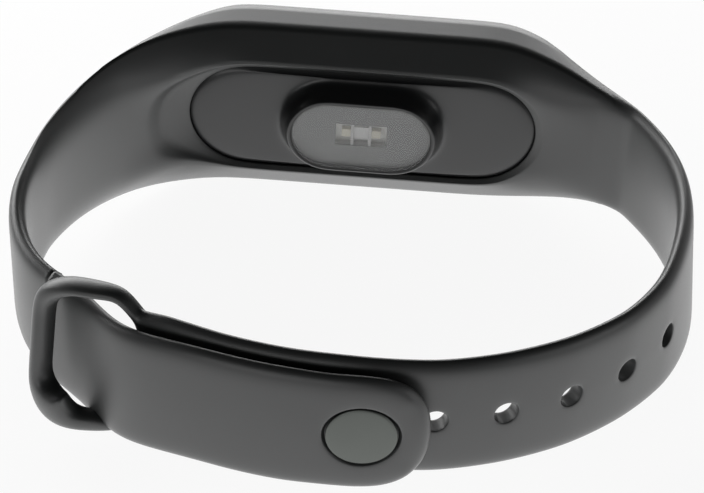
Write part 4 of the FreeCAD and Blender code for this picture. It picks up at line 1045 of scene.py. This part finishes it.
class TRACKER_OT_stud(bpy.types.Operator):
    """Models the satin cap of the stud, with its soft edge and slight crown"""

    bl_idname = "tracker.stud"
    bl_label = "Stud cap"

    def execute(self, context):
        plan = Plan()
        s = sizes()
        out = plan.out(-s.stud)
        level = plan.spot(-s.stud, 0.0, s.layer_gap + s.thick - MM * 0.12)
        turn_to = out.to_track_quat("Z", "Y").to_matrix()
        # millimetres in from the edge of the cap, and over its flat
        profile = [(0.2, -0.5), (0.06, -0.36), (0.04, -0.14), (0.14, -0.03)]
        profile += [(0.4, 0.02), (1.5, 0.06), (2.6, 0.08)]
        rings = []
        for inset, height in profile:
            reach = s.cap / 2 - inset * MM
            angles = [2 * math.pi * k / 24 for k in range(24)]
            ring = [Vector((reach * math.cos(a), reach * math.sin(a), height * MM)) for a in angles]
            rings.append([level + turn_to @ spot for spot in ring])
        piece = lathe_piece("stud_cap_disc", rings)
        leave(piece, levels=2, angle=50)
        finish_piece(piece, "strap_end", finish_of("stud_cap"), ["stud_cap"])
        return {"FINISHED"}


def cap_strip(piece, station):
    """Closes an end ring with quads from the outer to the wrist face."""
    groups = [(k, 15 - k, k + 1, 14 - k) for k in range(6)] + [(6, 7, 8, 9), (0, 17, 16, 15)]
    for group in groups:
        pick_marks(piece, "verts", {(station, number) for number in group})
        bpy.ops.mesh.edge_face_add()


def lathe_piece(name, rings):
    """A closed piece from rings with equally many points, both ends filled."""
    piece = start_ring(name, rings[0])
    bpy.ops.mesh.edge_face_add()
    pick(piece, "edges", lambda keys: len(keys) == 2)
    for station, ring in enumerate(rings[1:], start=1):
        next_ring(piece, ring, station)
    bpy.ops.mesh.edge_face_add()
    return piece


# ---------------------------------------------------------------- capsule


def stadium_ring(long, width, depth, around=12, flat=6):
    """Ring of a stadium in the capsule at a depth from its rear face, positive to the front."""
    s = sizes()
    radius = width / 2
    centre = (long - width) / 2
    y = s.back_y - s.setback + depth
    points = []
    for side in (1, -1):
        for k in range(around + 1):
            angle = math.radians(-90 + 180 * k / around)
            points.append((side * (centre + radius * math.cos(angle)), side * radius * math.sin(angle)))
        for k in range(1, flat):
            points.append((side * blend(centre, -centre, k / flat), side * radius))
    return [Vector((x, y, s.width / 2 + z)) for x, z in points]


class TRACKER_OT_rear_shell(bpy.types.Operator):
    """Models the rear shell: satin tub with the sensor island, its flared foot and the window recess"""

    bl_idname = "tracker.rear_shell"
    bl_label = "Rear shell"

    def execute(self, context):
        s = sizes()
        low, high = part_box("rear_shell")
        long, wide = high[0] - low[0], high[2] - low[2]
        chamfer = s.seat_chamfer
        deep = chamfer / s.lip_flare
        top = -s.island
        opening = (s.window_length + 2 * s.seal_line, s.window_width + 2 * s.seal_line)
        chamber = (s.window_length - 1.8 * MM, s.window_width - 1.8 * MM)
        inner = 2 * s.shell_wall
        crown = s.crown
        steps = [
            (long - inner, wide - inner, MM * 1.0),
            (long - inner, wide - inner, s.shell_top - MM * 0.05),
            (long - inner + MM * 0.1, wide - inner + MM * 0.1, s.shell_top),
            (long - MM * 0.12, wide - MM * 0.12, s.shell_top),
            (long, wide, s.shell_top - MM * 0.08),
            (long, wide, deep + MM * 0.25),
            (long - MM * 0.2, wide - MM * 0.2, deep - MM * 0.1),
            (long - 2 * chamfer + MM * 0.5, wide - 2 * chamfer + MM * 0.5, MM * 0.2),
            (long - 2 * chamfer - MM * 0.2, wide - 2 * chamfer - MM * 0.2, 0.0),
            (long - 2 * chamfer - MM * 1.6, wide - 2 * chamfer - MM * 1.0, -crown * 0.7),
            (s.island_length + MM * 4.0, s.island_width + MM * 2.6, -crown),
            (s.island_length + MM * 2.4, s.island_width + MM * 1.7, -crown - MM * 0.15),
            (s.island_length + MM * 1.4, s.island_width + MM * 1.1, -crown - MM * 0.55),
            (s.island_length + MM * 0.9, s.island_width + MM * 0.7, -crown - MM * 1.2),
            (s.island_length + MM * 0.6, s.island_width + MM * 0.4, top + MM * 0.75),
            (s.island_length + MM * 0.4, s.island_width + MM * 0.25, top + MM * 0.5),
            (s.island_length - MM * 0.1, s.island_width - MM * 0.15, top + MM * 0.08),
            (s.island_length - MM * 0.3, s.island_width - MM * 0.3, top),
            (opening[0] + MM * 0.06, opening[1] + MM * 0.06, top),
            (opening[0], opening[1], top + MM * 0.06),
            (opening[0], opening[1], top + s.window_thick + MM * 0.1),
            (chamber[0] + MM * 0.1, chamber[1] + MM * 0.1, top + s.window_thick + MM * 0.1),
            (chamber[0], chamber[1], top + s.window_thick + MM * 0.2),
            (chamber[0], chamber[1], top + s.window_thick + MM * 1.4),
        ]
        rings = [stadium_ring(a, b, depth) for a, b, depth in steps]
        piece = lathe_piece("capsule_rear_shell", rings)
        for station in (5, 16):
            crease(piece, 0.5, around_station(station))
        leave(piece, levels=2)
        finish_piece(piece, "capsule", finish_of("rear_shell"), ["rear_shell"])
        return {"FINISHED"}


class TRACKER_OT_window(bpy.types.Operator):
    """Models the smoked glass of the sensor window with its fine bevel"""

    bl_idname = "tracker.window"
    bl_label = "Sensor window"

    def execute(self, context):
        s = sizes()
        top = -s.island
        long, wide, thick = s.window_length, s.window_width, s.window_thick
        steps = [
            (long, wide, top + thick - MM * 0.01),
            (long, wide, top + thick - MM * 0.05),
            (long, wide, top + MM * 0.1),
            (long - MM * 0.06, wide - MM * 0.06, top + MM * 0.03),
            (long - MM * 0.2, wide - MM * 0.2, top),
            (long - MM * 1.2, wide - MM * 1.2, top),
        ]
        piece = lathe_piece("window_glass", [stadium_ring(a, b, depth) for a, b, depth in steps])
        leave(piece, levels=1, angle=40)
        finish_piece(piece, "capsule", finish_of("sensor_window"), ["sensor_window"])
        return {"FINISHED"}


class TRACKER_OT_front_cover(bpy.types.Operator):
    """Front cover: a smoothed copy of the solid with its dished touch key"""

    bl_idname = "tracker.front_cover"
    bl_label = "Front cover"

    def execute(self, context):
        bpy.ops.object.select_all(action="DESELECT")
        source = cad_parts["front_cover"]
        piece = source.copy()
        piece.data = source.data.copy()
        piece.name = piece.data.name = "capsule_front_cover"
        context.scene.collection.objects.link(piece)
        for key in list(piece.keys()):
            del piece[key]
        place = piece.matrix_world.copy()
        piece.parent = None
        piece.matrix_world = place
        context.view_layer.objects.active = piece
        piece.select_set(True)
        bpy.ops.object.transform_apply(location=True, rotation=True, scale=True)
        bpy.ops.object.mode_set(mode="EDIT")
        bpy.ops.mesh.select_all(action="SELECT")
        bpy.ops.mesh.remove_doubles(threshold=MM * 0.002)
        bpy.ops.object.mode_set(mode="OBJECT")
        bpy.ops.object.shade_smooth()
        bpy.ops.object.shade_smooth_by_angle(angle=math.radians(32))
        finish_piece(piece, "capsule", finish_of("front_cover"), ["front_cover"])
        return {"FINISHED"}


# ---------------------------------------------------------------- finishes


def new_material(name):
    material = bpy.data.materials.new(name)
    material.use_nodes = True
    return material, material.node_tree.nodes, material.node_tree.links


def noise(nodes, links, scale, detail=3.0):
    """A noise texture in the object's own coordinates."""
    where = nodes.new("ShaderNodeTexCoord")
    cloud = nodes.new("ShaderNodeTexNoise")
    cloud.inputs["Scale"].default_value = scale
    cloud.inputs["Detail"].default_value = detail
    links.new(where.outputs["Object"], cloud.inputs["Vector"])
    return cloud


def ramp(nodes, links, source, first, last, soft=False):
    """A node that leads a value from a first to a last (value, result) pair."""
    node = nodes.new("ShaderNodeMapRange")
    node.interpolation_type = "SMOOTHSTEP" if soft else "LINEAR"
    node.inputs["From Min"].default_value, node.inputs["To Min"].default_value = first
    node.inputs["From Max"].default_value, node.inputs["To Max"].default_value = last
    links.new(source, node.inputs["Value"])
    return node


def drifting(nodes, links, source, colour, spread):
    """A colour that drifts to both sides by a share of itself."""
    mix = nodes.new("ShaderNodeMix")
    mix.data_type = "RGBA"
    mix.inputs["A"].default_value = (*[c * (1 - spread) for c in colour], 1)
    mix.inputs["B"].default_value = (*[min(1, c * (1 + spread)) for c in colour], 1)
    links.new(source, mix.inputs["Factor"])
    return mix.outputs["Result"]


def surface(name, colour, rough, grain=0.00012, depth=0.05, spread=0.12, metal=0.0, specular=0.5):
    """A moulded or brushed surface: colour and roughness drift softly, with a fine grain as bump."""
    material, nodes, links = new_material(name)
    shader = nodes["Principled BSDF"]
    shader.inputs["Metallic"].default_value = metal
    shader.inputs["Specular IOR Level"].default_value = specular
    cloud = noise(nodes, links, 140.0)
    tinted = drifting(nodes, links, cloud.outputs["Fac"], colour, spread)
    links.new(tinted, shader.inputs["Base Color"])
    fine = noise(nodes, links, 1 / grain, 4.0)
    ends = (0.0, max(rough - 0.06, 0.02)), (1.0, min(rough + 0.06, 1.0))
    level = ramp(nodes, links, fine.outputs["Fac"], *ends)
    links.new(level.outputs["Result"], shader.inputs["Roughness"])
    bump = nodes.new("ShaderNodeBump")
    bump.inputs["Strength"].default_value = depth
    bump.inputs["Distance"].default_value = grain * 0.5
    links.new(fine.outputs["Fac"], bump.inputs["Height"])
    links.new(bump.outputs["Normal"], shader.inputs["Normal"])
    return material


def strap_material():
    found = bpy.data.materials.get("matte_elastomer")
    return found or surface("matte_elastomer", tuple(colours().strap), 0.45, depth=0.12, specular=0.55)


def window_material():
    """Smoked glass: a glossy sheet that lets part of what lies under it through."""
    material, nodes, links = new_material("window_tint")
    shader = nodes["Principled BSDF"]
    shader.inputs["Alpha"].default_value = 0.25
    shader.inputs["IOR"].default_value = 1.5
    cloud = noise(nodes, links, 60.0)
    tinted = drifting(nodes, links, cloud.outputs["Fac"], tuple(colours().glass), 0.06)
    links.new(tinted, shader.inputs["Base Color"])
    level = ramp(nodes, links, cloud.outputs["Fac"], (0.0, 0.06), (1.0, 0.1))
    links.new(level.outputs["Result"], shader.inputs["Roughness"])
    return material


def finish_of(label):
    """The finish of a node, made once and shared by all nodes of the same kind."""
    if label == "sensor_window":
        return bpy.data.materials.get("window_tint") or window_material()
    if label in ("stud_tail", "wristband"):
        return strap_material()
    name, colour, rough, metal = FINISHES[label]
    specular = 0.5
    if colour is None:
        colour, specular = tuple(getattr(colours(), name)), 0.4
    return bpy.data.materials.get(name) or surface(name, colour, rough, metal=metal, specular=specular)


FINISHES = {
    "rear_shell": ("shell", None, 0.34, 0.0),
    "front_cover": ("gloss_cover", (0.012, 0.012, 0.014), 0.1, 0.0),
    "cover_gasket": ("seal_rubber", (0.02, 0.02, 0.02), 0.7, 0.0),
    "window_seal": ("seal_rubber", (0.02, 0.02, 0.02), 0.7, 0.0),
    "display_frame": ("inner_frame", (0.05, 0.05, 0.055), 0.5, 0.0),
    "light_barrier": ("barrier_pale", (0.58, 0.58, 0.57), 0.5, 0.0),
    "display_panel": ("panel_glass", (0.01, 0.012, 0.02), 0.1, 0.0),
    "display_cable": ("flex_film", (0.35, 0.14, 0.03), 0.4, 0.0),
    "sensor_cable": ("flex_film", (0.35, 0.14, 0.03), 0.4, 0.0),
    "touch_electrode": ("electrode_copper", (0.72, 0.35, 0.2), 0.35, 1.0),
    "main_board": ("board_resin", (0.02, 0.09, 0.045), 0.45, 0.0),
    "sensor_board": ("board_resin_pale", (0.86, 0.86, 0.84), 0.45, 0.0),
    "protection_board": ("board_resin", (0.02, 0.09, 0.045), 0.45, 0.0),
    "processor": ("chip_resin", (0.02, 0.02, 0.022), 0.5, 0.0),
    "memory_chip": ("chip_resin", (0.02, 0.02, 0.022), 0.5, 0.0),
    "motion_sensor": ("chip_resin", (0.02, 0.02, 0.022), 0.5, 0.0),
    "antenna": ("antenna_ceramic", (0.6, 0.62, 0.6), 0.4, 0.0),
    "battery": ("cell_wrap", (0.35, 0.36, 0.37), 0.35, 0.6),
    "battery_pad": ("pad_foam", (0.6, 0.6, 0.55), 0.8, 0.0),
    "battery_tabs": ("nickel_tab", (0.6, 0.58, 0.54), 0.3, 1.0),
    "window_mask": ("film_grey", (0.17, 0.172, 0.172), 0.4, 0.0),
    # LEDs: warm near-white, brighter than their resin, as a painted glint on the emitters under the glass
    "sensor_leds": ("emitter_resin", (0.98, 0.93, 0.85), 0.3, 0.0),
    "photodiode": ("diode_resin", (0.74, 0.74, 0.73), 0.25, 0.0),
    "charging_contacts": ("contact_plate", (0.8, 0.6, 0.3), 0.25, 1.0),
    "motor_can": ("motor_steel", (0.6, 0.6, 0.6), 0.3, 1.0),
    "motor_base": ("motor_steel", (0.6, 0.6, 0.6), 0.3, 1.0),
    "motor_shaft": ("motor_steel", (0.6, 0.6, 0.6), 0.3, 1.0),
    "motor_rotor": ("rotor_tungsten", (0.25, 0.25, 0.26), 0.4, 1.0),
    "stud_cap": ("stud", None, 0.42, 1.0),
    "stud_pin": ("stud", None, 0.42, 1.0),
}


class TRACKER_OT_finishes(bpy.types.Operator):
    """Gives each solid of the frame its procedural finish"""

    bl_idname = "tracker.finishes"
    bl_label = "Finishes of the solids"

    def execute(self, context):
        for label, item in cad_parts.items():
            item.data.materials.clear()
            item.data.materials.append(finish_of(label))
        return {"FINISHED"}


# ---------------------------------------------------------------- stage


class TRACKER_OT_stage(bpy.types.Operator):
    """Pale floor, soft studio light and the camera"""

    bl_idname = "tracker.stage"
    bl_label = "Stage"

    def execute(self, context):
        scene = context.scene
        scene.view_settings.view_transform = "Standard"
        self.floor()
        for name, place, size, power in LAMPS:
            self.light(name, place, (0, 0, 0.02), size, power)
        self.world(scene)
        self.camera(scene)
        return {"FINISHED"}

    def floor(self):
        """White paper; what it reflects into the band fades away from a bright pool in the middle."""
        bpy.ops.object.select_all(action="DESELECT")
        bpy.ops.mesh.primitive_plane_add(size=4.0, location=(0, 0, -0.0002))
        floor = bpy.context.object
        floor.name = "studio_floor"
        bpy.ops.object.transform_apply(location=True)
        material, nodes, links = new_material("floor_paper")
        shader = nodes["Principled BSDF"]
        shader.inputs["Base Color"].default_value = (0.9, 0.9, 0.9, 1)
        shader.inputs["Roughness"].default_value = 0.9
        shader.inputs["Specular IOR Level"].default_value = 0.1
        bright = nodes.new("ShaderNodeEmission")
        where = nodes.new("ShaderNodeTexCoord")
        far = nodes.new("ShaderNodeVectorMath")
        far.operation = "LENGTH"
        links.new(where.outputs["Object"], far.inputs[0])
        pool = ramp(nodes, links, far.outputs["Value"], (0.03, 2.1), (0.11, 0.4), soft=True)
        path = nodes.new("ShaderNodeLightPath")
        level = ramp(nodes, links, path.outputs["Is Camera Ray"], (0.0, 1.0), (1.0, 1.0))
        links.new(pool.outputs["Result"], level.inputs["To Min"])
        links.new(level.outputs["Result"], bright.inputs["Strength"])
        mix = nodes.new("ShaderNodeMixShader")
        mix.inputs["Fac"].default_value = 0.92
        links.new(shader.outputs["BSDF"], mix.inputs[1])
        links.new(bright.outputs["Emission"], mix.inputs[2])
        links.new(mix.outputs["Shader"], nodes["Material Output"].inputs["Surface"])
        floor.data.materials.append(material)

    def light(self, name, place, target, size, power):
        lamp = bpy.data.lights.new(name, "AREA")
        lamp.shape = "RECTANGLE"
        lamp.size, lamp.size_y = size
        lamp.energy = power
        item = bpy.data.objects.new(name, lamp)
        bpy.context.scene.collection.objects.link(item)
        item.location = place
        aim = Vector(target) - Vector(place)
        item.rotation_euler = aim.to_track_quat("-Z", "Y").to_euler()

    def world(self, scene):
        """Bright near the horizon behind the band, and dim overhead and on the clasp's side."""
        world = bpy.data.worlds.new("studio_air")
        scene.world = world
        world.use_nodes = True
        nodes, links = world.node_tree.nodes, world.node_tree.links
        back = nodes["Background"]
        where = nodes.new("ShaderNodeTexCoord")
        parts = nodes.new("ShaderNodeSeparateXYZ")
        links.new(where.outputs["Generated"], parts.inputs["Vector"])
        height = ramp(nodes, links, parts.outputs["Z"], (0.05, 1.0), (0.7, 0.04), soft=True)
        depth = ramp(nodes, links, parts.outputs["Y"], (-0.9, 0.12), (0.6, 1.0), soft=True)
        both = nodes.new("ShaderNodeMath")
        both.operation = "MULTIPLY"
        links.new(height.outputs["Result"], both.inputs[0])
        links.new(depth.outputs["Result"], both.inputs[1])
        links.new(both.outputs["Value"], back.inputs["Color"])
        back.inputs["Strength"].default_value = 0.6

    def camera(self, scene):
        tilt, yaw, roll = math.radians(38.5), math.radians(1.5), math.radians(3.4)
        far = 280 * MM
        target = Vector((0.00025, -0.00052, sizes().width / 2))
        away = Vector((math.sin(yaw) * math.cos(tilt), -math.cos(yaw) * math.cos(tilt), math.sin(tilt)))
        camera = bpy.data.cameras.new("studio_camera")
        camera.lens = 141.75
        camera.sensor_width = 36.0
        camera.clip_start = 0.01
        item = bpy.data.objects.new("studio_camera", camera)
        scene.collection.objects.link(item)
        item.location = target + away * far
        facing = (-away).to_track_quat("-Z", "Y").to_matrix().to_4x4()
        item.matrix_world = Matrix.Translation(item.location) @ facing @ Matrix.Rotation(roll, 4, "Z")
        scene.camera = item


LAMPS = [
    ("key_light", (-0.25, -0.7, 0.12), (0.5, 0.2), 1.2),
    ("side_light", (0.65, -0.3, 0.12), (0.5, 0.2), 0.8),
    ("back_light", (-0.1, 0.17, 0.07), (0.6, 0.12), 1.3),
]


class TRACKER_PT_panel(bpy.types.Panel):
    """Lists the pieces of the tracker band"""

    bl_idname = "TRACKER_PT_panel"
    bl_label = "Fitness tracker band"
    bl_space_type = "VIEW_3D"
    bl_region_type = "UI"
    bl_category = "Tracker"

    def draw(self, context):
        for item in STEPS:
            self.layout.operator(item.bl_idname)


STEPS = [
    TRACKER_OT_stage,
    TRACKER_OT_finishes,
    TRACKER_OT_wristband,
    TRACKER_OT_stud_strap,
    TRACKER_OT_stud,
    TRACKER_OT_rear_shell,
    TRACKER_OT_window,
    TRACKER_OT_front_cover,
]
CLASSES = [TrackerSizes, TrackerColours, *STEPS, TRACKER_PT_panel]


def register():
    for item in CLASSES:
        bpy.utils.register_class(item)
    bpy.types.Scene.tracker_sizes = PointerProperty(type=TrackerSizes)
    bpy.types.Scene.tracker_colours = PointerProperty(type=TrackerColours)


def unregister():
    del bpy.types.Scene.tracker_colours
    del bpy.types.Scene.tracker_sizes
    for item in reversed(CLASSES):
        bpy.utils.unregister_class(item)


def main():
    register()
    for item in STEPS:
        group, _, name = item.bl_idname.partition(".")
        getattr(getattr(bpy.ops, group), name)()


if __name__ == "__main__":
    main()
